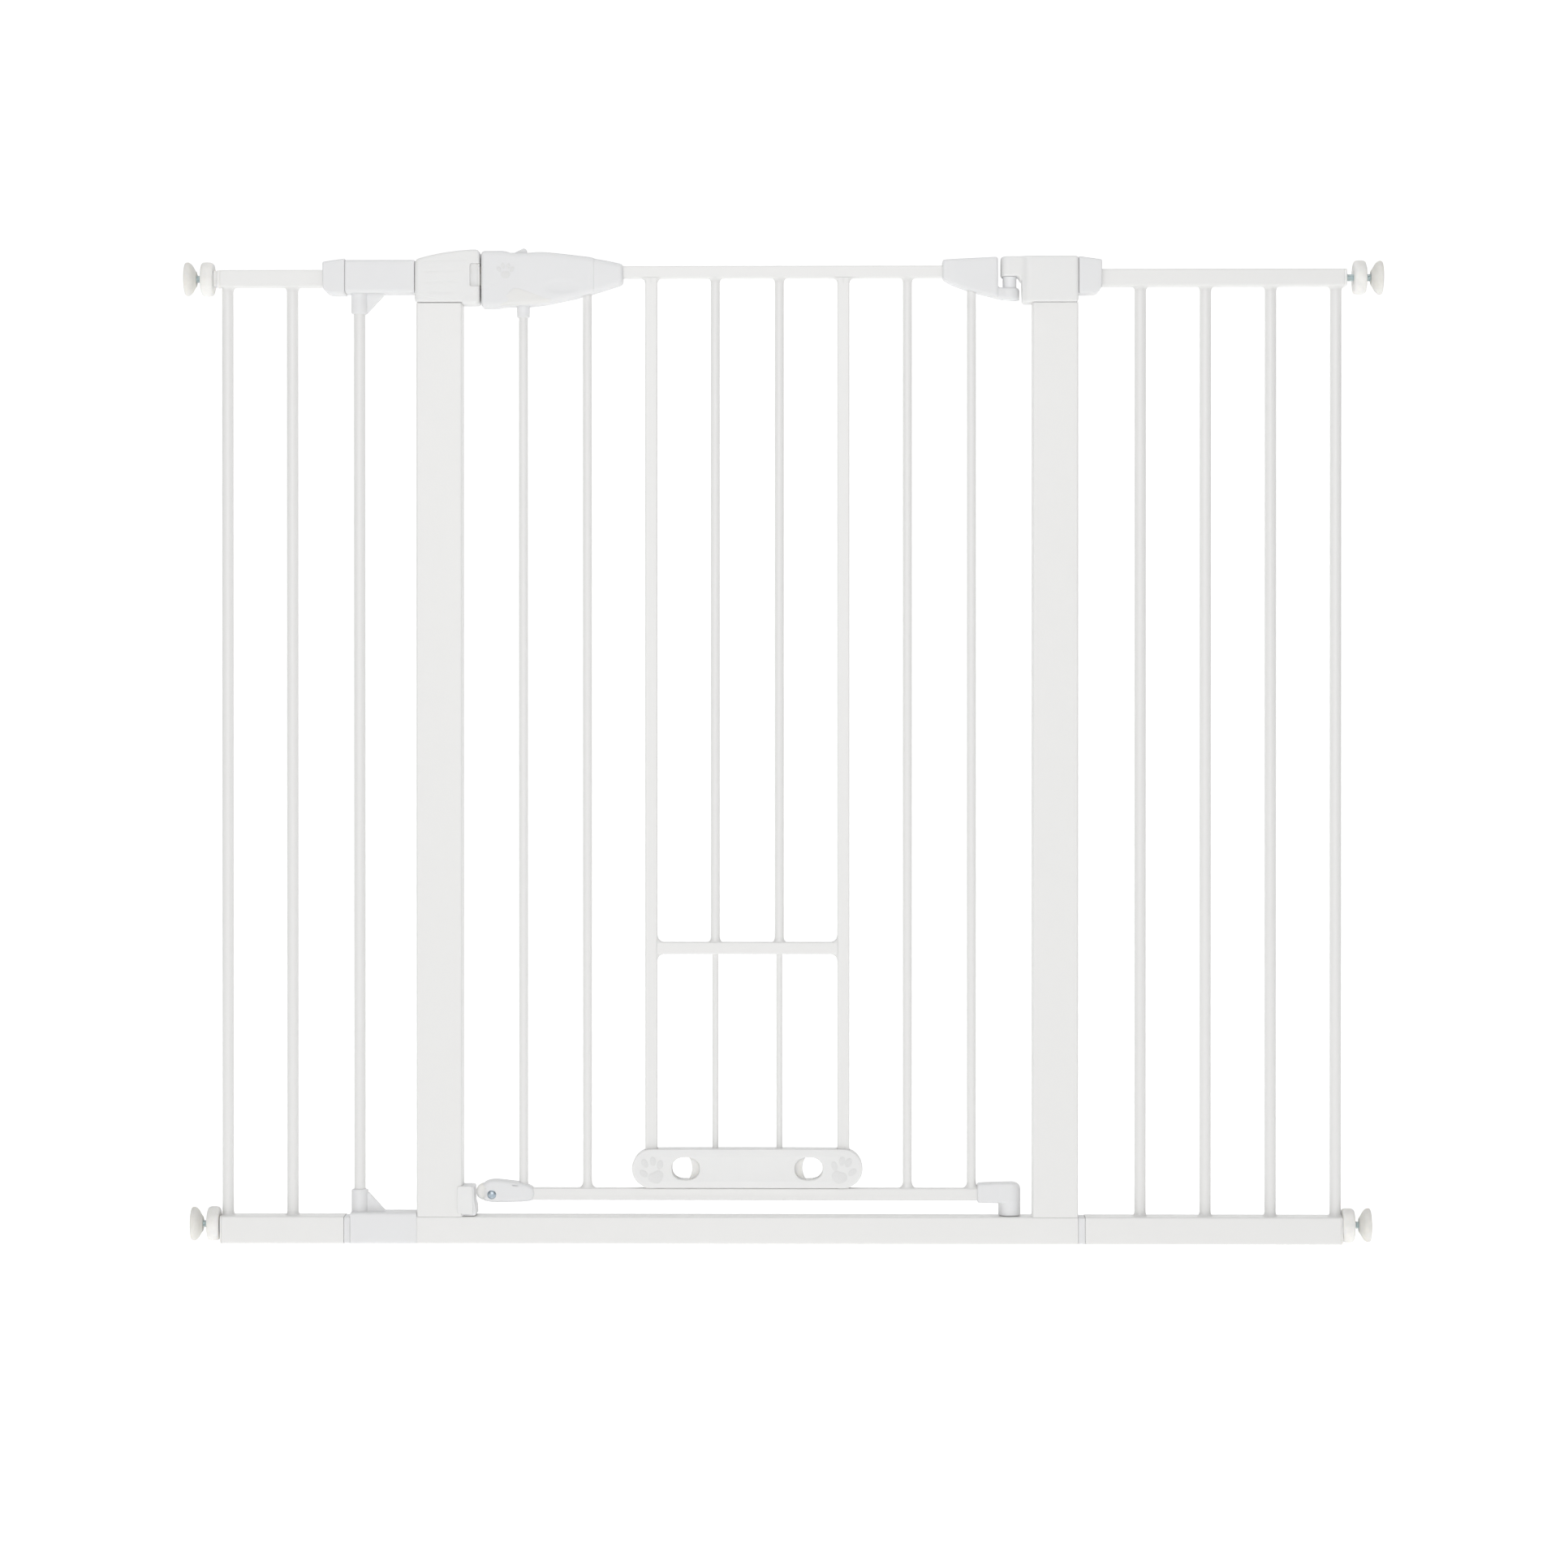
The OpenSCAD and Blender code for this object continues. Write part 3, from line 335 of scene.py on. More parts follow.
def merge(*parts):
    verts, faces = [], []
    for v, f in parts:
        base = len(verts)
        verts += v
        faces += [tuple(i + base for i in face) for face in f]
    return verts, faces


def interp(table, x, origin=0.0):
    """Straight-line reading of a table of (x - origin, value)."""
    table = [(origin + a, v) for a, v in table]
    if x <= table[0][0]:
        return table[0][1]
    for (x0, v0), (x1, v1) in zip(table, table[1:]):
        if x <= x1:
            return v0 + (v1 - v0) * (x - x0) / (x1 - x0) if x1 > x0 else v1
    return table[-1][1]


def smooth_interp(table, x, origin=0.0):
    """Catmull-Rom reading of a table of (x - origin, value)."""
    table = [(origin + a, v) for a, v in table]
    if x <= table[0][0]:
        return table[0][1]
    if x >= table[-1][0]:
        return table[-1][1]
    k = max(i for i in range(len(table) - 1) if table[i][0] <= x)
    x0, v0 = table[k]
    x1, v1 = table[k + 1]

    def slope(i):
        a, b = table[max(i - 1, 0)], table[min(i + 1, len(table) - 1)]
        return (b[1] - a[1]) / (b[0] - a[0])

    h = x1 - x0
    t = (x - x0) / h
    m0, m1 = slope(k) * h, slope(k + 1) * h
    near = (2 * t**3 - 3 * t**2 + 1) * v0 + (t**3 - 2 * t**2 + t) * m0
    return near + (3 * t**2 - 2 * t**3) * v1 + (t**3 - t**2) * m1


def step(t):
    t = max(0.0, min(1.0, t))
    return t * t * (3 - 2 * t)


def corner_arc(cx, cy, r, a0, n=5):
    return [(cx + r * math.cos(math.radians(a0 + 90 * i / n)),
        cy + r * math.sin(math.radians(a0 + 90 * i / n))) for i in range(n + 1)]


def section(half_f, half_b, z0, z1, r, crown=0.0, n_face=14, n_top=6):
    """A closed ring in (y, z): a rounded rectangle from -half_f to half_b that bulges by crown."""
    r = max(0.05, min(r, (z1 - z0) / 2 - 0.02, (half_f + half_b) / 2 - 0.02))
    ring = []
    ring += corner_arc(-half_f + r, z0 + r, r, 180)
    ring += [(-half_f + r + (half_f + half_b - 2 * r) * i / n_top, z0) for i in range(1, n_top)]
    ring += corner_arc(half_b - r, z0 + r, r, 270)
    ring += [(half_b, z0 + r + (z1 - z0 - 2 * r) * i / n_face) for i in range(1, n_face)]
    ring += corner_arc(half_b - r, z1 - r, r, 0)
    ring += [(half_b - r - (half_f + half_b - 2 * r) * i / n_top, z1) for i in range(1, n_top)]
    ring += corner_arc(-half_f + r, z1 - r, r, 90)
    ring += [(-half_f, z1 - r - (z1 - z0 - 2 * r) * i / n_face) for i in range(1, n_face)]
    mid, tall = (z0 + z1) / 2, (z1 - z0) / 2
    out = []
    for y, z in ring:
        bulge = crown * (1 - ((z - mid) / tall) ** 2)
        if y < -0.5 * half_f:
            y -= bulge
        elif y > 0.5 * half_b and half_b > 1:
            y += bulge
        out.append((y, z))
    return out


def stations(x0, x1, pitch, r0, r1, extra=()):
    """Places along X, close together where the ends are rounded."""
    xs = {round(x0, 4), round(x1, 4)}
    count = max(2, int((x1 - x0) / pitch))
    xs |= {round(x0 + (x1 - x0) * i / count, 4) for i in range(count + 1)}
    for k in range(1, 8):
        c = 1 - math.cos(math.radians(90 * k / 8))
        xs |= {round(x0 + r0 * c, 4), round(x1 - r1 * c, 4)}
    xs |= {round(x, 4) for x in extra}
    kept = []
    for x in sorted(xs):
        if x0 <= x <= x1 and (not kept or x - kept[-1] > 0.04):
            kept.append(x)
    return kept


def inset(distance, r):
    return r - math.sqrt(max(0.0, r * r - (r - distance) ** 2)) if distance < r else 0.0


def block(x0, x1, top, bottom, half, r=3, ends=((3, 3), (3, 3)), crown=0.3, pitch=2.0, side=0, extra=(),
        sculpt=None, n_face=14):
    """A lofted solid along X. top, bottom and half are functions of x.

    ends gives (plan radius, face radius) at each end, side is -1 or 1 for the front or rear half only, and
    sculpt(x, z) says how far a front point moves along Y.
    """
    rings = []
    (p0, f0), (p1, f1) = ends
    for x in stations(x0, x1, pitch, max(p0, f0), max(p1, f1), extra):
        dy = max(inset(x - x0, p0), inset(x1 - x, p1))
        dz = max(inset(x - x0, f0), inset(x1 - x, f1))
        h = max(0.6, half(x) - dy)
        z0, z1 = bottom(x) + dz, top(x) - dz
        if z1 - z0 < 1.0:
            mid = (z0 + z1) / 2
            z0, z1 = mid - 0.5, mid + 0.5
        front = 0.0 if side > 0 else h
        back = 0.0 if side < 0 else h
        if side > 0:
            ring = [(-y, z) for y, z in section(h, -0.15, z0, z1, r, crown, n_face)]
        else:
            ring = section(front, back if side == 0 else -0.15, z0, z1, r, crown, n_face)
        pts = []
        for y, z in ring:
            if sculpt and y < -0.35 * h:
                y += sculpt(x, z)
            pts.append((x, y, z))
        rings.append(pts)
    return rings_mesh(rings)


def rounded(pts, radii, n=6):
    """An outline with its corners rounded; radii is one number or one per corner."""
    out = []
    count = len(pts)
    for i in range(count):
        r = radii[i] if isinstance(radii, (list, tuple)) else radii
        p, q, s = (Vector(pts[(i + k) % count]) for k in (-1, 0, 1))
        if r <= 0:
            out.append(tuple(q))
            continue
        a, b = (p - q).normalized(), (s - q).normalized()
        half = math.acos(max(-1, min(1, a.dot(b)))) / 2
        c = q + (a + b).normalized() * r / math.sin(half)
        u = q + a * r / math.tan(half) - c
        v = q + b * r / math.tan(half) - c
        a0 = math.atan2(u.y, u.x)
        turn = (math.atan2(v.y, v.x) - a0 + math.pi) % (2 * math.pi) - math.pi
        out += [(c.x + r * math.cos(a0 + turn * k / n), c.y + r * math.sin(a0 + turn * k / n))
            for k in range(n + 1)]
    return out


def prism_y(pts, y0, y1):
    """A prism along Y from an (x, z) outline."""
    n = len(pts)
    verts = [(x, y0, z) for x, z in pts] + [(x, y1, z) for x, z in pts]
    faces = [tuple(range(n)), tuple(range(2 * n - 1, n - 1, -1))]
    faces += [(i, (i + 1) % n, n + (i + 1) % n, n + i) for i in range(n)]
    return verts, faces


def prism_z(pts, z0, z1):
    """A prism along Z from an (x, y) outline."""
    verts, faces = prism_y(pts, z0, z1)
    return [(x, y, z) for x, z, y in verts], faces


def rect(x0, x1, z0, z1):
    return [(x0, z0), (x1, z0), (x1, z1), (x0, z1)]


def circle(x, z, r, n):
    return [(x + r * math.cos(2 * math.pi * i / n), z + r * math.sin(2 * math.pi * i / n)) for i in range(n)]


def box_mesh(x0, x1, y0, y1, z0, z1):
    return prism_y(rect(x0, x1, z0, z1), y0, y1)


def slab(loops, y0, y1, edge):
    """A plate along Y with rounded edges. The first (x, z) loop is its outline, the rest are holes."""
    curve = bpy.data.curves.new("slab", "CURVE")
    curve.dimensions = "2D"
    curve.fill_mode = "BOTH"
    curve.extrude = ((y1 - y0) / 2 - edge) * MM
    curve.bevel_depth = edge * MM
    curve.bevel_resolution = 3
    curve.offset = -edge * MM
    for loop in loops:
        spline = curve.splines.new("POLY")
        spline.points.add(len(loop) - 1)
        for point, (x, z) in zip(spline.points, loop):
            point.co = (x * MM, z * MM, 0, 1)
        spline.use_cyclic_u = True
    obj = bpy.data.objects.new("slab", curve)
    bpy.context.scene.collection.objects.link(obj)
    graph = bpy.context.evaluated_depsgraph_get()
    mesh = bpy.data.meshes.new_from_object(obj.evaluated_get(graph))
    bpy.data.objects.remove(obj)
    bpy.data.curves.remove(curve)
    mesh.transform(Matrix(((1, 0, 0, 0), (0, 0, 1, (y0 + y1) / 2 * MM), (0, 1, 0, 0), (0, 0, 0, 1))))
    return mesh


def lathe(profile, centre, axis, n=64, wobble=None):
    """Turns (r, h) points about an axis through centre. wobble(r, h, angle) gives a point another radius."""
    axis = Vector(axis)
    u = Vector((0, 1, 0)) if abs(axis.y) < 0.9 else Vector((1, 0, 0))
    v = axis.cross(u)
    verts, faces, rows = [], [], []
    for r, h in profile:
        row = []
        if r < 1e-6:
            row = [len(verts)] * n
            verts.append(tuple(Vector(centre) + axis * h))
        else:
            for k in range(n):
                a = 2 * math.pi * k / n
                rr = wobble(r, h, a) if wobble else r
                row.append(len(verts))
                verts.append(tuple(Vector(centre) + axis * h + (u * math.cos(a) + v * math.sin(a)) * rr))
        rows.append(row)
    for a, b in zip(rows, rows[1:]):
        for k in range(n):
            face = [a[k], a[(k + 1) % n], b[(k + 1) % n], b[k]]
            face = [face[i] for i in range(4) if face[i] not in face[:i]]
            if len(face) > 2:
                faces.append(tuple(face))
    return verts, faces


# --- main places

door_lo, door_hi = lo_hi("door_bottom_rail")
rail_top = lo_hi("frame_bottom_rail")[1].z
post_l_lo, post_l_hi = lo_hi("left_post")
post_r_lo, post_r_hi = lo_hi("right_post")
cap_lo, cap_hi = lo_hi("latch_post_cap")
hcap_lo, hcap_hi = lo_hi("hinge_post_cap")
grip_lo, grip_hi = lo_hi("latch_housing_front")
arm_lo, arm_hi = lo_hi("hinge_arm")
foot_lo, foot_hi = lo_hi("hinge_foot")
plate_lo, plate_hi = lo_hi("pet_door_front_plate")
top_rail_lo, top_rail_hi = lo_hi("door_top_rail")
cross_lo, cross_hi = lo_hi("pet_door_crossbar")
pin_lo, pin_hi = lo_hi("top_hinge_pin")
low_rail_top = door_hi.z
top_rail_z = top_rail_lo.z
FX1 = post_r_hi.x
PIN_X = (pin_lo.x + pin_hi.x) / 2
DOOR_X = (plate_lo.x + plate_hi.x) / 2
PITCH = 67.7
BAR_R = 4.75
TUBE_HALF = 6.35
EXT_BAR_R = 6
EXT_PITCH = 68.7
# Half width of the hole a door tube needs in a moulding
TUNNEL = 6.5
SIDES = ((-1, "front"), (1, "rear"))


def bar_x(i):
    return DOOR_X + (i - 3.5) * PITCH


# Kept CAD nodes take the first material of their slot
for part in record["subparts"]:
    obj = nodes[part["node"]]
    obj.data.materials.clear()
    obj.data.materials.append(BY_SLOT[part["material_slot"]][0])

# --- weld fillets


def bulged(share, power):
    """A cosine or sine pushed outwards, so that a circle turns squarish."""
    return math.copysign(abs(share) ** power, share)


def flare_z(x, z_base, z_end, rx, ry, reach, reach_y, left=1.0, right=1.0, square=0.0, n=32, steps=7):
    """A weld fillet round an upright, wide at z_base and gone at z_end."""
    rings = []
    for k in range(steps + 1):
        t = k / steps
        grow = fading(k, steps)
        ring = []
        for j in range(n):
            a = 2 * math.pi * j / n
            ca, sa = math.cos(a), math.sin(a)
            if square:
                ca, sa = bulged(ca, 2 / (2 + square)), bulged(sa, 2 / (2 + square))
            out = reach * grow * (right if ca > 0 else left)
            ring.append((x + ca * (rx + 0.06 + out), sa * (ry + 0.06 + reach_y * grow),
                z_base + (z_end - z_base) * t))
        rings.append(ring)
    return rings_mesh(rings)


def fading(k, steps):
    """How wide a fillet still is after k of its steps."""
    return 1 - math.sqrt(max(0.0, 1 - (1 - k / steps) ** 2))


def flare_x(x_base, x_end, z, rz, ry, reach, n=32, steps=7):
    """A weld fillet round the crossbar's end, wide at x_base."""
    rings = []
    for k in range(steps + 1):
        t = k / steps
        grow = fading(k, steps)
        ring = []
        for j in range(n):
            a = 2 * math.pi * j / n
            ca, sa = bulged(math.cos(a), 0.35), bulged(math.sin(a), 0.35)
            ring.append((x_base + (x_end - x_base) * t, ca * (ry - 0.3), z + sa * (rz + 0.06 + reach * grow)))
        rings.append(ring)
    return rings_mesh(rings)


door_welds = []
for i in (0, 1, 6, 7):
    door_welds.append(flare_z(bar_x(i), low_rail_top - 0.3, low_rail_top + 6.5, BAR_R, BAR_R, 6.5, 1.2))
for i in (6, 3, 4):
    door_welds.append(flare_z(bar_x(i), top_rail_z + 0.3, top_rail_z - 5, BAR_R, BAR_R, 4.5, 1.2))
    if i != 6:
        door_welds.append(flare_z(bar_x(i), cross_hi.z - 0.3, cross_hi.z + 5, BAR_R, BAR_R, 4.5, 1.2))
for i in (2, 5):
    door_welds.append(flare_z(bar_x(i), top_rail_z + 0.3, top_rail_z - 6, TUBE_HALF, 6.3, 5.5, 0, square=4))
cross_z = (cross_lo.z + cross_hi.z) / 2
door_welds.append(flare_x(cross_lo.x - 0.3, cross_lo.x + 8, cross_z, TUBE_HALF, TUBE_HALF, 8))
door_welds.append(flare_x(cross_hi.x + 0.3, cross_hi.x - 8, cross_z, TUBE_HALF, TUBE_HALF, 8))
finish_mesh("door_weld_fillets", *merge(*door_welds), POWDER, "door")

ext_under = lo_hi("left_ext_top_rail")[0].z
left_first = lo_hi("extension_bars")[0].x + EXT_BAR_R
left_bars = [left_first, left_first + EXT_PITCH]
right_bars = [lo_hi("right_ext_top_rail")[0].x + 41 + EXT_PITCH * i for i in range(4)]
frame_welds = []
for x in left_bars + right_bars:
    left_reach = 0.0 if x == left_bars[0] else 1.0
    frame_welds.append(flare_z(x, ext_under + 0.2, ext_under - 5, EXT_BAR_R, EXT_BAR_R, 4.8, 1.5,
        left=left_reach))
    frame_welds.append(flare_z(x, rail_top - 0.3, rail_top + 4.5, EXT_BAR_R, EXT_BAR_R, 3.4, 2.0,
        left=left_reach))
for lo, hi in ((post_l_lo, post_l_hi), (post_r_lo, post_r_hi)):
    mid = (lo.x + hi.x) / 2
    frame_welds.append(flare_z(mid, rail_top - 0.3, rail_top + 2.4, 23.9, 14.85, 2.2, 0.12,
        left=0.1 if lo.x < 0 else 1, right=1 if lo.x < 0 else 0.1, square=10, n=64))
finish_mesh("frame_weld_fillets", *merge(*frame_welds), POWDER, "frame")

# --- latch handle

GX0, GX1 = grip_lo.x, grip_hi.x


def grip_top(x):
    return smooth_interp([(0, 1048.3), (22, 1048.3), (27, 1047.6), (31, 1046.4), (48, 1046.3), (62, 1047.2),
        (80, 1045.9), (100, 1043.7), (117, 1041.6), (119, 1040.6), (134, 1038.0), (GX1 - GX0, 1034.6)], x,
        GX0)


def grip_bottom(x):
    return smooth_interp([(0, 988.9), (14, 988.8), (20, 989.6), (24, 990.7), (36, 990.6), (51, 991.0),
        (66, 992.6), (78, 994.9), (96, 998.6), (114, 1003.0), (132, 1008.3), (GX1 - GX0, 1013.9)], x, GX0)


def grip_half(x):
    return interp([(0, 15.7), (40, 15.9), (90, 15.2), (118.4, 13.9), (119.2, 13.2), (GX1 - GX0, 11.6)], x,
        GX0)


def line_side(x, z, x0, z0, x1, z1):
    """Signed distance of (x, z) above the line through two points."""
    dx, dz = x1 - x0, z1 - z0
    return ((z - z0) * dx - (x - x0) * dz) / math.hypot(dx, dz)


def grip_sculpt(x, z):
    """Creases of the front shell: a fold low on the left and a scoop for the thumb."""
    out = 0.0
    fold = line_side(x, z, GX0, 1007.6, GX0 + 29, 1016.2)
    reach = step(1 - abs(x - (GX0 + 8)) / 30)
    out += 0.75 * step(0.5 - fold / 1.8) * reach - 0.3 * reach
    dx, dz = (x - (GX0 + 84)) / 21, (z - 1010) / 8.5
    out += 1.1 * step(1 - (dx * dx + dz * dz))
    return out


b_lo, b_hi = lo_hi("latch_button")
t_lo, t_hi = lo_hi("latch_bolt")
for side, name in SIDES:
    body = block(GX0, GX1, grip_top, grip_bottom, grip_half, r=5.0, ends=((3.5, 3.2), (4.0, 3.0)), crown=0.55,
        pitch=1.6, side=side, extra=(GX0 + 118.4, GX0 + 119.2), sculpt=grip_sculpt if side < 0 else None,
        n_face=30)
    shell = finish_mesh(f"handle_shell_{name}", *body, COOL, "door", (f"latch_housing_{name}",))
    tools = [
        box_mesh(b_lo.x - 1.2, b_hi.x + 11.5, -7.4, 7.4, 1037, 1060),
        box_mesh(GX0 - 4, GX0 + 56, -6.2, 6.2, t_lo.z - 0.3, t_hi.z + 0.3),
        box_mesh(top_rail_lo.x - 0.2, GX1 + 5, -TUNNEL, TUNNEL, top_rail_lo.z - 0.15, top_rail_hi.z + 0.15),
        prism_z(rounded(rect(bar_x(1) - 5, bar_x(1) + 5, -5, 5), 4.9, 8), 980, 1022),
    ]
    cut(shell, tools)

# The lighter panel let into the lower front, standing a hair proud of the shell it follows
panel = rounded([(GX0 + 19, 989.9), (GX0 + 51, 991.5), (GX0 + 66, 993.2), (GX0 + 76.5, 995.6),
    (GX0 + 40, 1007.9), (GX0 + 34.5, 1008.4), (GX0 + 29.5, 1004.0)], [0.8, 30, 30, 0.8, 6, 3, 8])
panel_mid = (sum(p[0] for p in panel) / len(panel), sum(p[1] for p in panel) / len(panel))
for sign, name in SIDES:
    surface = BVHTree.FromObject(bpy.data.objects[f"handle_shell_{name}"],
        bpy.context.evaluated_depsgraph_get())
    rings = []
    for inset_share, lift in ((1.0, -1.2), (1.0, 0.15), (0.985, 0.38), (0.95, 0.45), (0.8, 0.45), (0.6, 0.45),
            (0.4, 0.45), (0.2, 0.45), (0.04, 0.45)):
        ring = []
        for px, pz in panel:
            x = panel_mid[0] + (px - panel_mid[0]) * inset_share
            z = max(panel_mid[1] + (pz - panel_mid[1]) * inset_share, grip_bottom(x) + 0.7)
            hit = surface.ray_cast(Vector((x * MM, sign * 0.05, z * MM)), Vector((0, -sign, 0)))[0]
            y = abs(hit.y) / MM if hit else 10.0
            ring.append((x, sign * (y + lift), z))
        rings.append(ring)
    finish_mesh(f"handle_panel_{name}", *rings_mesh(rings), WARM, "door", smooth=30)

# Thumb button: a wedge with grip ridges
wedge = [(b_lo.x, 1045.6), (b_lo.x + 0.6, 1047.0), (b_hi.x - 3.4, b_hi.z - 0.1), (b_hi.x - 2.0, b_hi.z),
    (b_hi.x - 0.4, b_hi.z - 0.6), (b_hi.x, b_hi.z - 1.6), (b_hi.x, 1044.0), (b_lo.x, 1044.0)]
button = merge(prism_y(wedge, -6.9, 6.9), box_mesh(b_lo.x + 1.5, b_lo.x + 12.5, -3.9, 3.9, b_lo.z, 1045),
    *[box_mesh(b_lo.x + 2.4 + 2.1 * k, b_lo.x + 3.3 + 2.1 * k, -5.4, 5.4, 1045.5, 1047.55 + 0.82 * k)
    for k in range(4)])
finish_mesh("thumb_button", *button, COOL, "latch", ("latch_button",), bevel=0.25)

tongue = rounded(rect(t_lo.x, t_hi.x, t_lo.z, t_hi.z), [3, 0.6, 0.6, 3])
finish_mesh("latch_tongue", *prism_y(tongue, t_lo.y, t_hi.y), IVORY, "latch", ("latch_bolt",), bevel=0.7)

# Compression spring behind the tongue
c_lo_s, c_hi_s = lo_hi("latch_spring")
WIRE_R, COILS, PER_TURN = 0.6, 7, 24
spring_len = c_hi_s.x - c_lo_s.x
coil_z = (c_lo_s.z + c_hi_s.z) / 2
coil_r = (c_hi_s.z - c_lo_s.z) / 2 - WIRE_R
rings = []
for i in range(COILS * PER_TURN + 1):
    a = 2 * math.pi * i / PER_TURN
    x = c_lo_s.x + WIRE_R + (spring_len - 2 * WIRE_R) * i / (COILS * PER_TURN)
    ring = []
    for j in range(10):
        b = 2 * math.pi * j / 10
        r = coil_r + WIRE_R * math.cos(b)
        ring.append((x + WIRE_R * math.sin(b), r * math.cos(a), coil_z + r * math.sin(a)))
    rings.append(ring)
spring = finish_mesh("latch_coil_spring", *rings_mesh(rings), ZINC, "latch", ("latch_spring",), smooth=60)
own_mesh(spring)

# Bar socket under the handle, with a rolled lip
s_lo, s_hi = lo_hi("latch_bar_socket")
s_x = (s_lo.x + s_hi.x) / 2
socket = lathe([(4.8, 6.0), (4.8, 0.0), (6.0, 0.0), (6.55, 0.35), (6.7, 0.9), (7.2, s_hi.z - s_lo.z - 2),
    (7.2, s_hi.z - s_lo.z - 0.5), (4.8, s_hi.z - s_lo.z - 0.5), (4.8, 6.0)], (s_x, 0, s_lo.z), (0, 0, 1), 48)
finish_mesh("bar_socket", *socket, COOL, "door", ("latch_bar_socket",))

# --- latch post cap

CX0, CX1 = cap_lo.x, cap_hi.x
NOTCH_Z0, NOTCH_Z1 = 1010, 1035


def cap_top_z(x):
    return smooth_interp([(0, 1039.0), (8, 1041.4), (20, 1044.4), (36, 1047.2), (52, 1049.0), (63, 1049.6),
        (CX1 - CX0, 1049.3)], x, CX0)


def cap_bottom_z(x):
    return interp([(0, 993.35), (49.9, 993.35), (50.6, 992.2), (CX1 - CX0, 992.2)], x, CX0)


def cap_sculpt(x, z):
    """Four shallow grooves and the long curved crease above the post."""
    out = 0.0
    for k in range(4):
        line = 1003.5 + 11.2 * k + 0.02 * (x - CX0)
        span = step((x - CX0 - 9 + 0.8 * k) / 6) * step((CX0 + 47 + 4 * k - x) / 9)
        out += 0.3 * span * math.exp(-(((z - line) / 0.8) ** 2))
    crease = smooth_interp([(0, 1003.2), (14, 999.4), (34, 996.2), (48, 995.6), (56, 1001.0),
        (CX1 - CX0, 1009.5)], x, CX0)
    out += 0.75 * step(0.5 + (crease - z) / 1.4)
    return out


cap = block(CX0, CX1, cap_top_z, cap_bottom_z, lambda x: 16.4, r=3.2, ends=((5, 4.2), (3.6, 4.0)), crown=0.45,
    pitch=1.2, extra=(CX0 + 49.9, CX0 + 50.6), sculpt=cap_sculpt, n_face=64)
cap = finish_mesh("latch_post_cover", *cap, NEUTRAL, "frame", ("latch_post_cap",))
notch = rounded(rect(CX1 - 2.9, CX1 + 6, NOTCH_Z0, NOTCH_Z1), [0.8, 0.5, 0.5, 0.8])
recess = rounded(rect(CX1 - 10.4, CX1 + 6, NOTCH_Z0, NOTCH_Z1), [2.4, 0.5, 0.5, 2.4])
cut(cap, [prism_y(notch, -30, 30), prism_y(recess, -30, -12.6), prism_y(recess, 12.6, 30)])
lips = [box_mesh(CX1 - 2.9, CX1 - 0.1, y, y + 0.8, 1010.1, 1034.9) for y in (-12.4, 11.6)]
sill = [(CX1 - 8.6, 1009.6), (CX1 - 1.2, 1009.2), (CX1 - 1.2, 1010.15), (CX1 - 8.6, 1010.4)]
back = prism_y(rounded(rect(CX1 - 3.0, CX1 - 2.4, NOTCH_Z0, NOTCH_Z1), 0.2), -12.2, 12.2)
lower = prism_y(rounded(sill, 0.3), -15.8, -12.8)
upper = prism_y(rounded(rect(CX1 - 5.2, CX1 - 1.2, 1034.7, 1035.4), 0.3), -15.8, -12.8)
liner = merge(back, lower, upper, *lips)
finish_mesh("latch_notch_liner", *liner, IVORY, "frame", bevel=0.15)

# --- hinge post cap and arm

HX0, HX1 = hcap_lo.x, hcap_hi.x
BODY_X = PIN_X + 13.1


def hcap_half(x):
    if x < HX0 + 8:
        return 3.6 + math.sqrt(max(0.0, 64 - (8 - (x - HX0)) ** 2))
    return interp([(HX0 + 8, 11.6), (BODY_X - 2.6, 11.6), (BODY_X - 0.6, 12.0), (BODY_X + 1, 13.1),
        (BODY_X + 4, 15.5), (BODY_X + 6, 16.5), (BODY_X + 8, 16.8), (HX1, 16.8)], x)


def hcap_bottom(x):
    return interp([(HX0, 1021.1), (PIN_X + 7.2, 1021.1), (PIN_X + 9.6, 1019.4), (BODY_X - 2.6, 1017.0),
        (BODY_X - 0.5, 1015.9), (BODY_X + 0.1, 995.0), (BODY_X + 0.9, 993.9), (BODY_X + 2.2, 993.4),
        (HX1, 993.4)], x)


def hcap_top(x):
    return interp([(HX0, 1040.4), (HX0 + 0.8, 1041.5), (HX0 + 2.4, 1042.1), (HX0 + 5, 1042.3), (HX1, 1042.2)],
        x)


def arc_steps(x, r):
    """Places along X that sample a round end of radius r about x."""
    return tuple(x + r * math.sin(math.radians(9 * k)) for k in range(11))


nose_steps = tuple(HX0 + 8 * (1 - math.cos(math.radians(9 * k))) for k in range(11))
hinge_steps = nose_steps + (PIN_X + 7.2, PIN_X + 9.6, BODY_X - 2.6, BODY_X - 0.5, BODY_X + 0.1, BODY_X + 0.9,
    BODY_X + 2.2, BODY_X + 4, BODY_X + 6)
cap2 = block(HX0, HX1, hcap_top, hcap_bottom, hcap_half, r=2.6, ends=((0.01, 0.01), (3.5, 3.0)), crown=0.3,
    pitch=2.0, extra=hinge_steps, n_face=30)
cap2 = finish_mesh("hinge_post_cover", *cap2, NEUTRAL, "frame", ("hinge_post_cap",))
bore = circle(PIN_X, 0, 7.55, 48)
cut(cap2, [prism_z(bore, 1015, 1038.2)])

AX0, AX1 = arm_lo.x, PIN_X - 12.5
LUG_R = arm_hi.x - PIN_X
LUG0, LUG1 = arm_lo.z, 1009.3


